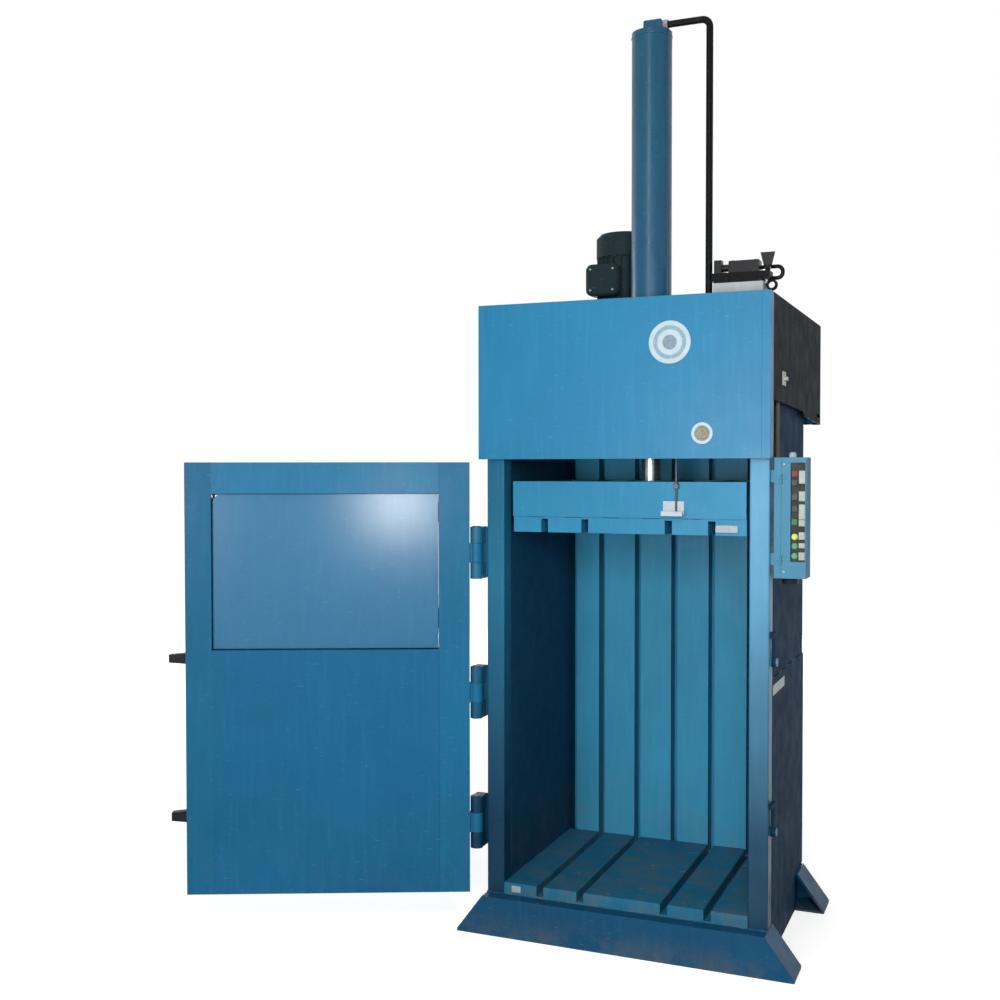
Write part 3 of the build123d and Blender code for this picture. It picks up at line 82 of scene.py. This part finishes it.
def darker(colour, factor):
    """A colour scaled down."""
    return tuple(c * factor for c in colour[:3]) + (1,)


class Nodes:
    """Short way to build a material's node tree."""

    def __init__(self, name):
        self.material = bpy.data.materials.new(name)
        self.material.use_nodes = True
        self.tree = self.material.node_tree
        self.shader = self.tree.nodes["Principled BSDF"]
        self.coords = self.add("ShaderNodeTexCoord").outputs["Object"]

    def add(self, kind, links=None, **settings):
        node = self.tree.nodes.new(kind)
        for key, value in settings.items():
            setattr(node, key, value)
        for key, value in (links or {}).items():
            self.put(node, key, value)
        return node

    def put(self, node, key, value):
        if isinstance(value, bpy.types.NodeSocket):
            self.tree.links.new(value, node.inputs[key])
        else:
            node.inputs[key].default_value = value

    def scaled(self, scale, turn=(0, 0, 0)):
        links = {"Vector": self.coords, "Scale": scale, "Rotation": turn}
        return self.add("ShaderNodeMapping", links).outputs[0]

    def noise(self, scale, detail=3.0, rough=0.55, vector=None):
        links = {"Vector": vector or self.coords, "Scale": scale, "Detail": detail, "Roughness": rough}
        return self.add("ShaderNodeTexNoise", links).outputs["Fac"]

    def ramp(self, value, low, high, first=0.0, last=1.0):
        links = {"Value": value, "From Min": low, "From Max": high, "To Min": first, "To Max": last}
        return self.add("ShaderNodeMapRange", links, clamp=True).outputs[0]

    def math(self, kind, first, second=0.5, clamp=False):
        return self.add("ShaderNodeMath", {0: first, 1: second}, operation=kind, use_clamp=clamp).outputs[0]

    def vector(self, kind, first, second=(0, 0, 0), output=0):
        return self.add("ShaderNodeVectorMath", {0: first, 1: second}, operation=kind).outputs[output]

    def mix(self, factor, first, second):
        node = self.add("ShaderNodeMix", data_type="RGBA")
        for key, value in ((0, factor), (6, first), (7, second)):
            self.put(node, key, value)
        return node.outputs[2]

    def height(self):
        return self.add("ShaderNodeSeparateXYZ", {0: self.coords}).outputs[2]

    def bump(self, value, strength, distance, normal):
        links = {"Height": value, "Strength": strength, "Distance": distance, "Normal": normal}
        return self.add("ShaderNodeBump", links).outputs[0]

    def rounded(self, radius):
        return self.add("ShaderNodeBevel", {"Radius": radius}, samples=4).outputs[0]

    def edge(self, radius=0.002):
        """1 on the outer edges, 0 on flats."""
        soft = self.rounded(radius)
        true = self.add("ShaderNodeNewGeometry").outputs["True Normal"]
        return self.ramp(self.vector("DOT_PRODUCT", soft, true, "Value"), 0.985, 0.86)


def paint(name, colour, dark=0.76, rough=0.40, coat=0.04, wear=0.5, dirt=0.35, ground=0.6,
          peel=0.05, gloss=0.10, coat_rough=0.22, marks=None):
    """Sprayed gloss enamel on steel: tone drift, orange peel, scuffs, worn edges and dust low down."""
    n = Nodes(name)
    drift = n.ramp(n.noise(1.7, 4.0), 0.32, 0.68)
    base = n.mix(drift, darker(colour, dark), colour)
    streak = n.noise(6.0, 5.0, 0.6, n.scaled((9.0, 9.0, 0.7)))
    base = n.mix(n.ramp(streak, 0.50, 0.72, 0, 0.22), base, lighter(colour, 1.35, 0.01))
    blotches = n.ramp(n.noise(9.0, 6.0, 0.7), 0.42, 0.72)
    dust = n.math("MULTIPLY", n.ramp(n.height(), ground, 0.0), blotches)
    base = n.mix(n.math("MULTIPLY", dust, dirt), base, tone(112, 100, 84))
    scratch = n.ramp(n.noise(38.0, 2.0, 0.5, n.scaled((1.0, 1.0, 14.0), (0.4, 0.7, 0.2))), 0.70, 0.74)
    base = n.mix(n.math("MULTIPLY", scratch, 0.30), base, tone(150, 178, 196))
    chips = n.ramp(n.noise(70.0, 5.0, 0.75), 0.52, 0.60)
    worn = n.math("MULTIPLY", n.math("MULTIPLY", n.edge(0.0022), chips), wear)
    base = n.mix(worn, base, tone(96, 98, 100))
    if marks:
        base = marks(n, base)
    n.put(n.shader, "Base Color", base)
    uneven = n.ramp(n.noise(14.0, 4.0), 0.3, 0.7, rough - 0.07, rough + 0.10)
    n.put(n.shader, "Roughness", n.math("ADD", uneven, n.math("MULTIPLY", dust, 0.25), True))
    n.put(n.shader, "Coat Weight", coat)
    n.put(n.shader, "Coat Roughness", coat_rough)
    n.put(n.shader, "Specular IOR Level", gloss)
    n.put(n.shader, "Normal", n.bump(n.noise(420.0, 2.0), peel, 0.0006, n.rounded(0.0016)))
    return n.material


def metal(name, colour, rough=0.3, brushed=(1, 1, 40), wear=0.4, metallic=1.0, rust=0.0):
    """Bare or plated steel with fine brushing, stains and a little rust."""
    n = Nodes(name)
    grain = n.noise(60.0, 3.0, 0.6, n.scaled(brushed))
    stain = n.ramp(n.noise(22.0, 5.0, 0.7), 0.45, 0.75)
    base = n.mix(n.math("MULTIPLY", stain, wear), colour, darker(colour, 0.45))
    if rust:
        spots = n.ramp(n.noise(45.0, 6.0, 0.75), 0.58, 0.68)
        base = n.mix(n.math("MULTIPLY", spots, rust), base, tone(122, 72, 42))
    n.put(n.shader, "Base Color", base)
    n.put(n.shader, "Metallic", metallic)
    n.put(n.shader, "Roughness", n.ramp(grain, 0.25, 0.75, rough - 0.08, rough + 0.16))
    n.put(n.shader, "Normal", n.bump(grain, 0.10, 0.0004, n.rounded(0.0008)))
    return n.material


def plastic(name, colour, rough=0.42, texture=0.12, scale=900.0, speck=0.15, marks=None):
    """Moulded plastic or rubber with a fine texture and handling marks."""
    n = Nodes(name)
    smear = n.ramp(n.noise(30.0, 5.0, 0.6), 0.4, 0.75)
    base = n.mix(n.math("MULTIPLY", smear, speck), colour, lighter(colour, 1.9, 0.012))
    if marks:
        base = marks(n, base)
    n.put(n.shader, "Base Color", base)
    n.put(n.shader, "Roughness", n.math("ADD", n.ramp(smear, 0, 1, -0.05, 0.12), rough, True))
    n.put(n.shader, "Specular IOR Level", 0.15)
    n.put(n.shader, "Normal", n.bump(n.noise(scale, 2.0), texture, 0.0003, n.rounded(0.001)))
    return n.material


# Door leaf at rest: its direction from the hinge line, its inner side and its window
swing = radians(155.6)
along = Vector((cos(swing), -sin(swing), 0))
inward = Vector((-along.y, along.x, 0))
hinge = Vector((-0.524, -0.027, 0))
window_start, window_end, window_bottom = 0.133, 0.924, 1.007
leaf_end = 1.015
seam_offset = 0.0008
seam_blue = tone(12, 46, 70)


def on_leaf(u, v, z):
    """Point on the door leaf: u along it, v towards its inner side."""
    return hinge + along * u + inward * v + Vector((0, 0, z))


def leaf_place(n):
    """Distance along the leaf, as a node value."""
    return n.vector("DOT_PRODUCT", n.vector("SUBTRACT", n.coords, hinge), along, "Value")


def seam(n, base, value, place, width, strength):
    """Dark line on the paint where value comes within a width of place."""
    away = n.math("ABSOLUTE", n.math("SUBTRACT", value, place))
    return n.mix(n.math("MULTIPLY", n.ramp(away, width, width * 0.4), strength), base, seam_blue)


def dark_lugs(n, base):
    """Lugs on the latch stile, in blackened steel."""
    return n.mix(n.ramp(leaf_place(n), leaf_end, leaf_end + 0.001), base, tone(30, 33, 38))


def stile_seam(n, base):
    """Butt seam of the door's tubes beside the window."""
    return seam(n, base, leaf_place(n), window_start - seam_offset, 0.0011, 0.55)


def panel_seam(n, base):
    """Seam along the top edge of the lower panel."""
    return seam(n, base, n.height(), window_bottom - seam_offset, 0.0016, 0.5)


def grime_and_painted_shade(n, base):
    """Columns: darker paint low down, partly grime rubbed in by bales and trucks and partly painted shade for
    the light falling off towards the floor.
    """
    patchy = n.ramp(n.noise(3.0, 4.0), 0.2, 0.8, 0.80, 1.0)
    return n.mix(n.math("MULTIPLY", n.ramp(n.height(), 1.25, 0.40), patchy), base, tone(12, 44, 68))


def lit_lamps(n, base):
    """Lamp lenses: yellow-green at the top, green below."""
    return n.mix(n.ramp(n.height(), 1.404, 1.408), tone(40, 132, 70), tone(176, 190, 74))


badge_face = -0.052
badge_rings = [
    ((0.178, badge_face, 2.052), 0.070, ((0.80, 0.58, tone(112, 142, 158)), (0.36, 0.0, tone(96, 120, 134)))),
    ((0.286, badge_face, 1.754), 0.035, ((0.74, 0.0, tone(98, 90, 62)), (0.46, 0.36, tone(150, 140, 104)))),
]


def badge_print(n, base):
    """Plain printed rings on each badge, with no lettering."""
    worn = n.ramp(n.noise(160.0, 4.0, 0.7), 0.4, 0.7, 0.95, 0.55)
    for centre, radius, rings in badge_rings:
        away = n.vector("LENGTH", n.vector("SUBTRACT", n.coords, centre), output="Value")
        for outer, inner, colour in rings:
            within = n.ramp(away, radius * outer, radius * (outer - 0.03))
            if inner:
                within = n.math("MULTIPLY", within, n.ramp(away, radius * inner, radius * (inner + 0.03)))
            base = n.mix(n.math("MULTIPLY", within, worn), base, colour)
    return base


def gland_tones(n, base):
    """Black gland below the box, pale one on top of it."""
    return n.mix(n.ramp(n.height(), 1.66, 1.661), base, tone(150, 172, 182))


# Feet in a darker copy of the frame blue: painted shade for the feet low by the floor.
shaded_foot = paint("shaded_foot_paint", tone(17, 76, 110), wear=0.7, dirt=0.45, ground=0.10)
column = dict(wear=0.6, dirt=0.4, ground=0.35, marks=grime_and_painted_shade)
blue_frame = paint("frame_blue_paint", tone(34, 104, 136), **column)
# The right column has a lighter copy of the frame blue: painted light for the light falling on that column.
lit_right_column = paint("lit_right_column_paint", tone(88, 150, 184), **column)
wall = dict(wear=0.35, dirt=0.35, ground=0.5)
# Rear and left chamber walls are lit and shaded copies of one wall blue: the rear one lighter as painted
# light, the left one darker as painted shade.
lit_rear_wall = paint("lit_rear_wall_paint", tone(52, 136, 170), rough=0.46, **wall)
shaded_left_wall = paint("shaded_left_wall_paint", tone(20, 66, 94), rough=0.5, coat=0.0, **wall)
# Outer skin of the right side wall and the door dogs in a near-black blue: painted shade for right-facing
# faces that turn away from the light.
shaded_skin = paint(
    "shaded_outer_skin_paint", tone(18, 48, 70), rough=0.6, coat=0.0, wear=0.3, dirt=0.2, gloss=0.02)
blue_cover = paint(
    "cover_blue_paint", tone(38, 118, 157), dark=0.86, rough=0.36, coat=0.08, wear=0.25, dirt=0.0)
# The door leaf's and flap's blues are set darker than the cover blue: painted shade for the door, which turns
# away from the light.
leaf = dict(dark=0.80, rough=0.36, coat=0.07, wear=0.35, dirt=0.1, gloss=0.05)
blue_door = paint("door_blue_paint", tone(24, 98, 138), **leaf, marks=panel_seam)
# The door's top rail is a lighter copy of the door blue: painted light for the light falling on the top of
# the door.
lit_top_rail = paint("lit_top_rail_paint", tone(36, 112, 150), **leaf)
hinge_stile = paint("hinge_stile_paint", tone(26, 102, 140), **leaf, marks=stile_seam)
latch_stile = paint("latch_stile_paint", tone(26, 100, 138), **leaf, marks=dark_lugs)
blue_flap = paint(
    "flap_blue_paint", tone(26, 104, 144), dark=0.86, rough=0.36, coat=0.40, wear=0.35, dirt=0.0,
    coat_rough=0.19)
blue_platen = paint("platen_blue_paint", tone(46, 128, 165), dark=0.85, rough=0.42, wear=0.5, dirt=0.0)
blue_tube = paint(
    "cylinder_blue_paint", tone(20, 80, 110), dark=0.85, rough=0.30, coat=0.0, wear=0.2, dirt=0.0,
    gloss=0.30)
blue_floor = paint("floor_blue_paint", tone(34, 110, 142), rough=0.5, wear=0.9, dirt=0.6, ground=1.2)
matt = dict(coat=0.0, dirt=0.0)
# Side covers in dark grey where the machine's blue would be: painted shade for the covers' faces, which turn
# away from the light.
shaded_side_panel = paint("shaded_side_panel_paint", tone(32, 40, 44), dark=0.8, rough=0.62, wear=0.3, gloss=0.02, **matt)
teal_control = paint(
    "control_teal_paint", tone(76, 130, 156), dark=0.9, rough=0.5, wear=0.3, peel=0.3, gloss=0.04, **matt)
grey_stand = paint("stand_grey_paint", tone(176, 180, 182), dark=0.88, rough=0.5, wear=0.3, **matt)
motor_paint = paint(
    "motor_paint", tone(34, 48, 52), dark=0.8, rough=0.5, gloss=0.03, wear=0.5, peel=0.3, **matt)
valve_black = paint(
    "valve_black_paint", tone(18, 20, 22), gloss=0.05, dark=0.7, rough=0.42, wear=0.6, peel=0.2, **matt)
pipe_paint = paint(
    "pipe_black_paint", tone(16, 19, 20), dark=0.8, rough=0.34, gloss=0.05, wear=0.3, dirt=0.0)
weld_steel = paint(
    "weld_paint", tone(30, 92, 124), dark=0.6, rough=0.45, coat=0.0, wear=0.2, dirt=0.2, peel=0.6)
zinc = metal("zinc_steel", tone(132, 138, 140), 0.42, rust=0.15, metallic=0.6)
galvanised = metal(
    "galvanised_steel", tone(168, 180, 186), 0.6, (1, 1, 1), wear=0.2, rust=0.05, metallic=0.15)
dark_steel = metal("dark_steel", tone(70, 76, 82), 0.42, rust=0.1, metallic=0.7)
chrome = metal("rod_chrome", tone(150, 162, 170), 0.18, (40, 40, 1), wear=0.12, metallic=0.85)
iron = metal("pump_iron", tone(70, 74, 78), 0.55, (1, 1, 1), metallic=0.6)
lock_paint = metal("lock_alloy", tone(142, 152, 140), 0.45, (20, 20, 20), wear=0.5, metallic=0.5)
black_plastic = plastic("black_plastic", tone(20, 21, 23))
gland_plastic = plastic("gland_plastic", tone(20, 21, 23), 0.4, 0.1, 600.0, marks=gland_tones)
coil_plastic = plastic("coil_plastic", tone(18, 19, 22), 0.36)
shoe_plastic = plastic("shoe_plastic", tone(30, 31, 33), 0.5)
legend_film = plastic("legend_film", tone(150, 158, 150), 0.4, 0.05, 500.0, 0.3)
label_film = plastic("label_film", tone(150, 160, 164), 0.4, 0.05, 500.0, 0.4)
conduit_sleeve = plastic("conduit_sleeve", tone(84, 82, 62), 0.55, 0.1, 400.0, 0.4)
red_button = plastic("red_button", tone(104, 40, 36), 0.35, 0.05)
green_button = plastic("green_button", tone(34, 104, 60), 0.35, 0.05)
dark_button = plastic("dark_button", tone(46, 54, 56), 0.35, 0.05)
lamp_lens = plastic("lamp_lens", tone(90, 150, 60), 0.2, 0.02, 200.0, marks=lit_lamps)
badge_film = plastic("badge_film", tone(168, 186, 194), 0.34, 0.03, 500.0, marks=badge_print)

looks = {
    shaded_foot: ["front_foot", "rear_foot"],
    blue_frame: ["front_column_left", "crosshead", "top_deck"],
    lit_right_column: ["front_column_right"],
    lit_rear_wall: ["rear_wall"],
    shaded_left_wall: ["side_wall_left"],
    shaded_skin: ["side_wall_right", "door_dog_upper", "door_dog_lower"],
    blue_floor: ["chamber_floor"],
    blue_cover: ["front_cover", "rear_cover"],
    shaded_side_panel: ["side_cover_left", "side_cover_right"],
    lit_top_rail: ["door_top_rail"],
    blue_door: ["door_lower_panel"],
    hinge_stile: ["door_hinge_stile"],
    latch_stile: ["door_latch_stile"],
    blue_flap: ["loading_flap"],
    blue_platen: ["platen", "oil_tank"],
    blue_tube: ["cylinder_tube", "cylinder_cap"],
    zinc: ["cylinder_bolts", "flap_bolt", "pipe_fittings"],
    galvanised: ["ejector_hook"],
    dark_steel: ["cylinder_gland", "piston", "hinge_pins", "limit_striker"],
    lock_paint: ["cover_lock"],
    chrome: ["piston_rod"],
    iron: ["hydraulic_pump"],
    teal_control: ["control_box", "control_door"],
    black_plastic: ["button_panel", "motor_fan"],
    gland_plastic: ["cable_glands"],
    legend_film: ["legend_plates"],
    badge_film: ["badges"],
    red_button: ["push_button_1"],
    green_button: ["push_button_5"],
    dark_button: ["push_button_2", "push_button_3", "push_button_4"],
    lamp_lens: ["pilot_lamps"],
    conduit_sleeve: ["control_conduit"],
    pipe_paint: ["feed_pipe", "return_pipe"],
    motor_paint: ["motor_body", "motor_fan_cover", "motor_terminal_box"],
    grey_stand: ["valve_stand"],
    valve_black: ["valve_manifold"],
    coil_plastic: ["solenoid_valve", "valve_handle"],
    shoe_plastic: ["guide_shoes"],
}
for material, names in looks.items():
    for name in names:
        nodes[name].data.materials.clear()
        nodes[name].data.materials.append(material)


weld_step = 0.003


def make_object(name, mesh, body, material, smooth=True):
    """A finished bmesh as an object that rides on a body and takes its finish from a slot."""
    data = bpy.data.meshes.new(name)
    bmesh.ops.recalc_face_normals(mesh, faces=mesh.faces)
    for face in mesh.faces:
        face.smooth = smooth
    mesh.to_mesh(data)
    mesh.free()
    piece = bpy.data.objects.new(name, data)
    bpy.context.scene.collection.objects.link(piece)
    data.materials.append(material)
    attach(piece, body)
    return piece


def bridge(mesh, rings, capped=True):
    """Faces from each ring of points to the next, with a cap at both ends."""
    for first, second in zip(rings, rings[1:]):
        for k in range(len(first)):
            after = (k + 1) % len(first)
            mesh.faces.new((first[k], first[after], second[after], second[k]))
    if capped:
        mesh.faces.new(rings[0])
        mesh.faces.new(rings[-1])


def circle(mesh, centre, radius, aside, across, sides):
    """Ring of points round a centre."""
    turns = [2 * pi * k / sides for k in range(sides)]
    return [mesh.verts.new(centre + radius * (cos(turn) * aside + sin(turn) * across)) for turn in turns]


def tube(mesh, points, radius, sides=8, ripple=0.0, closed=False):
    """Round bar along a line of points; ripple swells it to and fro as a weld bead's scales do."""
    rings = []
    count = len(points)
    aside = None
    for i, point in enumerate(points):
        before = points[i - 1] if i or closed else points[0]
        after = points[(i + 1) % count] if i + 1 < count or closed else points[-1]
        heading = (after - before).normalized()
        aside = heading.orthogonal() if aside is None else aside - heading * aside.dot(heading)
        aside.normalize()
        swell = radius * (1 + ripple * ((i * 0.37 * (1 + 0.13 * sin(i * 1.7))) % 1.0 - 0.5))
        rings.append(circle(mesh, point, swell, aside, heading.cross(aside), sides))
    bridge(mesh, rings + rings[:1] if closed else rings, not closed)


def welds(name, lines, radius, body):
    """Weld beads along straight lines, as one piece."""
    mesh = bmesh.new()
    for start, end in lines:
        start, end = Vector(start), Vector(end)
        count = max(2, round((end - start).length / weld_step))
        tube(mesh, [start.lerp(end, i / count) for i in range(count + 1)], radius, 6, 0.5)
    return make_object(name, mesh, body, weld_steel)


def stitches(start, end, length=0.045, pitch=0.16):
    """Short stretches of a line, for stitch welds."""
    start, end = Vector(start), Vector(end)
    whole = (end - start).length
    heading = (end - start) / whole
    places = [pitch * i + 0.03 for i in range(int(whole / pitch))]
    return [(start + heading * place, start + heading * (place + length)) for place in places]


def screws(name, places, facing, radius, body):
    """Socket screw heads on a face: each a turned head with a rounded rim and a socket."""
    mesh = bmesh.new()
    facing = Vector(facing).normalized()
    aside = facing.orthogonal().normalized()
    across = facing.cross(aside)
    profile = [(1.0, 0.0), (1.0, 0.5), (0.93, 0.68), (0.80, 0.76), (0.48, 0.76), (0.45, 0.70), (0.45, 0.25)]
    for place in places:
        bridge(mesh, [
            circle(mesh, Vector(place) + facing * radius * high, radius * wide, aside, across, 18)
            for wide, high in profile
        ])
    return make_object(name, mesh, body, zinc, smooth=False)


def label(name, centre, facing, width, height, body):
    """Thin blank label with rounded corners, lying on a face."""
    mesh = bmesh.new()
    facing = Vector(facing).normalized()
    up = Vector((0, 0, 1))
    side = up.cross(facing)
    corner = 0.15 * height
    outline = []
    for cx, cy, first in ((1, 1, 0), (-1, 1, 90), (-1, -1, 180), (1, -1, 270)):
        for step in range(5):
            turn = radians(first + 22.5 * step)
            outline.append((
                cx * (width / 2 - corner) + corner * cos(turn),
                cy * (height / 2 - corner) + corner * sin(turn),
            ))
    layers = ((1.0, 0.0), (1.0, 0.0006), (0.985, 0.0009))
    bridge(mesh, [
        [mesh.verts.new(Vector(centre) + (side * x + up * z) * scale + facing * rise) for x, z in outline]
        for scale, rise in layers
    ])
    return make_object(name, mesh, body, label_film, smooth=False)


def arc(centre, first, second, radius, steps=14):
    """Points of a quarter bend from one direction to another round its centre."""
    centre, first, second = Vector(centre), Vector(first), Vector(second)
    turns = [pi / 2 * i / steps for i in range(steps + 1)]
    return [centre + radius * (first * cos(turn) + second * sin(turn)) for turn in turns]


# Return loop as a smooth round pipe
pipe_radius = 0.007
pipe_bend = 0.018
lower_start = 0.039
low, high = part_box("return_pipe")
loop_y = (low[1] + high[1]) / 2
loop_left, loop_right = low[0], high[0] - pipe_radius
loop_top, loop_low = high[2] - pipe_radius, low[2] + pipe_radius
bend_x = loop_right - pipe_bend
mesh = bmesh.new()
tube(mesh, [
    Vector((loop_left, loop_y, loop_top)),
    *arc((bend_x, loop_y, loop_top - pipe_bend), (0, 0, 1), (1, 0, 0), pipe_bend),
    *arc((bend_x, loop_y, loop_low + pipe_bend), (1, 0, 0), (0, 0, -1), pipe_bend),
    Vector((loop_left + lower_start, loop_y, loop_low)),
], pipe_radius, 28)
loop = make_object("return_pipe_round", mesh, "frame", pipe_paint)
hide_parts("return_pipe")

# Weld beads on the frame, the ram and the door
frame_half, column_inner, column_front, column_rear = 0.495, 0.430, 0.0, 0.065
foot_top = 0.136
welds("foot_welds", [
    ((-frame_half, column_front, foot_top), (-column_inner, column_front, foot_top)),
    ((column_inner, column_front, foot_top), (frame_half, column_front, foot_top)),
    ((frame_half, column_front, foot_top), (frame_half, column_rear, foot_top)),
    ((-frame_half, column_front, foot_top), (-frame_half, column_rear, foot_top)),
    *stitches((-column_inner, column_front, foot_top), (column_inner, column_front, foot_top)),
], 0.0032, "frame")
hinge_levels = [0.300, 0.760, 1.253]
hinge_weld = (-0.4955, 0.0125)
welds("hinge_welds", [
    ((*hinge_weld, level + 0.026), (*hinge_weld, level + 0.156)) for level in hinge_levels
], 0.003, "frame")
skin_seam = 0.9405
welds("skin_welds", [
    stitch
    for x in (0.4825, -0.4825)
    for stitch in stitches((x, 0.075, skin_seam), (x, 0.755, skin_seam), 0.06, 0.14)
], 0.0028, "frame")
rib_edges = (0.200, 0.280, 0.520, 0.600, 0.840, 0.920, 1.300, 1.380, 1.786)
rear_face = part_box("rear_wall")[1][1] - 0.040
welds("rear_rib_welds", [
    stitch
    for level in rib_edges
    for stitch in stitches((-0.42, rear_face, level), (0.42, rear_face, level))
], 0.003, "frame")
cylinder = Vector((0, 0.360, 3.190))
cylinder_radius = 0.0725
mesh = bmesh.new()
round_cap = [2 * pi * i / 150 for i in range(150)]
tube(mesh, [
    cylinder + cylinder_radius * Vector((cos(turn), sin(turn), 0)) for turn in round_cap
], 0.0022, 6, 0.5, closed=True)
make_object("cap_weld", mesh, "frame", blue_tube)
platen_low, platen_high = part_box("platen")
lap_y, lap_z = platen_low[1] + 0.008, platen_low[2] + 0.055
welds("platen_welds", stitches(
    (platen_low[0] + 0.02, lap_y, lap_z), (platen_high[0] - 0.02, lap_y, lap_z), 0.06, 0.14,
), 0.0026, "ram")
welds("door_welds", [
    stitch
    for u in (window_start, window_end)
    for stitch in stitches(on_leaf(u, 0.0198, 0.16), on_leaf(u, 0.0198, 1.0), 0.05, 0.12)
], 0.0024, "door")

# Blank labels where the machine has its notices
front, right_side, upward = (0, -1, 0), (1, 0, 0), (0, 0, 1)
label("platen_label", (0.347, platen_low[1], 1.4400), front, 0.074, 0.024, "ram")
label("skin_label", (0.486, 0.235, 0.900), right_side, 0.22, 0.034, "frame")
label("floor_label", (-0.385, 0.0, 0.158), front, 0.034, 0.022, "frame")

# Screws on the motor, its terminal box, the valve group and the control box
motor_flange = Vector((-0.162, 0.560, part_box("motor_body")[0][2] + 0.014))
screw_circle = 0.116
corners = [radians(turn) for turn in (45, 135, 225, 315)]
screws("flange_screws", [
    motor_flange + screw_circle * Vector((cos(turn), sin(turn), 0)) for turn in corners
], upward, 0.009, "frame")
box_low, box_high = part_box("motor_terminal_box")
box_inset = 0.020
screws("terminal_screws", [
    (x, box_low[1], z)
    for x in (box_low[0] + box_inset, box_high[0] - box_inset)
    for z in (box_low[2] + box_inset, box_high[2] - box_inset)
], front, 0.0045, "frame")
bar_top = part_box("solenoid_valve")[0][2]
coil_top = bar_top + 0.041
screws("bar_screws", [
    (x, y, bar_top) for x in (0.276, 0.404) for y in (0.321, 0.371)
], upward, 0.0048, "frame")
screws("coil_screws", [
    (x, y, coil_top) for x in (0.303, 0.382) for y in (0.330, 0.362)
], upward, 0.004, "frame")
control_low, control_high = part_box("control_door")
control_inset = 0.022
screws("control_screws", [
    (0.541, 0.0, z) for z in (control_high[2] - control_inset, control_low[2] + control_inset)
], front, 0.0042, "control_door")

# Floor, backdrop light and lamps
floor_half = 30
floor_mesh = bpy.data.meshes.new("floor")
floor_corners = [(x * floor_half, y * floor_half, 0) for x, y in ((-1, -1), (1, -1), (1, 1), (-1, 1))]
floor_mesh.from_pydata(floor_corners, [], [(0, 1, 2, 3)])
floor = bpy.data.objects.new("floor", floor_mesh)
bpy.context.scene.collection.objects.link(floor)
n = Nodes("floor_paper")
n.put(n.shader, "Base Color", (0.62, 0.62, 0.62, 1))
n.put(n.shader, "Roughness", 0.9)
n.put(n.shader, "Specular IOR Level", 0.1)
far = n.vector("LENGTH", n.coords, output="Value")
rays = n.add("ShaderNodeLightPath").outputs
clear_rays = n.math("ADD", rays["Is Camera Ray"], rays["Is Glossy Ray"])
seen_white = n.math("ADD", clear_rays, rays["Is Transmission Ray"], True)
n.put(n.shader, "Emission Color", (1, 1, 1, 1))
n.put(n.shader, "Emission Strength", n.math("MULTIPLY", seen_white, n.ramp(far, 2.0, 7.0, 0.70, 1.0)))
floor_mesh.materials.append(n.material)

world = bpy.data.worlds.new("studio")
world.use_nodes = True
bpy.context.scene.world = world
tree = world.node_tree
background = tree.nodes["Background"]
path = tree.nodes.new("ShaderNodeLightPath")
total = path.outputs["Is Camera Ray"]
for ray in ("Is Transmission Ray", "Is Glossy Ray"):
    adder = tree.nodes.new("ShaderNodeMath")
    tree.links.new(total, adder.inputs[0])
    tree.links.new(path.outputs[ray], adder.inputs[1])
    total = adder.outputs[0]
strength = tree.nodes.new("ShaderNodeMapRange")
strength.inputs["To Min"].default_value = 0.12
strength.inputs["To Max"].default_value = 1.0
tree.links.new(total, strength.inputs["Value"])
background.inputs["Color"].default_value = (1, 1, 1, 1)
tree.links.new(strength.outputs[0], background.inputs["Strength"])


def lamp(name, place, target, size, power):
    """Soft area lamp aimed at a point."""
    data = bpy.data.lights.new(name, "AREA")
    data.shape = "RECTANGLE"
    data.size, data.size_y = size
    data.energy = power
    lit = bpy.data.objects.new(name, data)
    lit.location = place
    lit.rotation_euler = (Vector(target) - Vector(place)).to_track_quat("-Z", "Y").to_euler()
    bpy.context.scene.collection.objects.link(lit)


lamp("key", (-0.9, -8.0, 1.5), (0, 0.3, 1.4), (2.0, 1.6), 205)
lamp("sheen", (0.843, -4.252, 1.415), (-0.759, -0.156, 1.53), (0.40, 0.34), 44)
lamp("right", (0.95, -2.2, 2.0), (0.40, 0, 1.75), (0.5, 0.5), 30)
lamp("band", (0.0, -3.6, 3.6), (0, 0.36, 2.7), (0.25, 1.6), 26)
lamp("rear", (-1.5, 8.0, 1.0), (0, 0.8, 1.5), (2.6, 2.0), 300)
lamp("left", (-7.5, 2.0, 2.4), (-0.5, 0.4, 1.4), (2.4, 2.0), 170)
lamp("side", (7.5, 2.2, 2.2), (0.5, 0.4, 1.4), (2.4, 2.0), 90)
lamp("overhead", (-0.8, -0.8, 6.5), (0, 0.4, 1.0), (4.0, 4.0), 50)
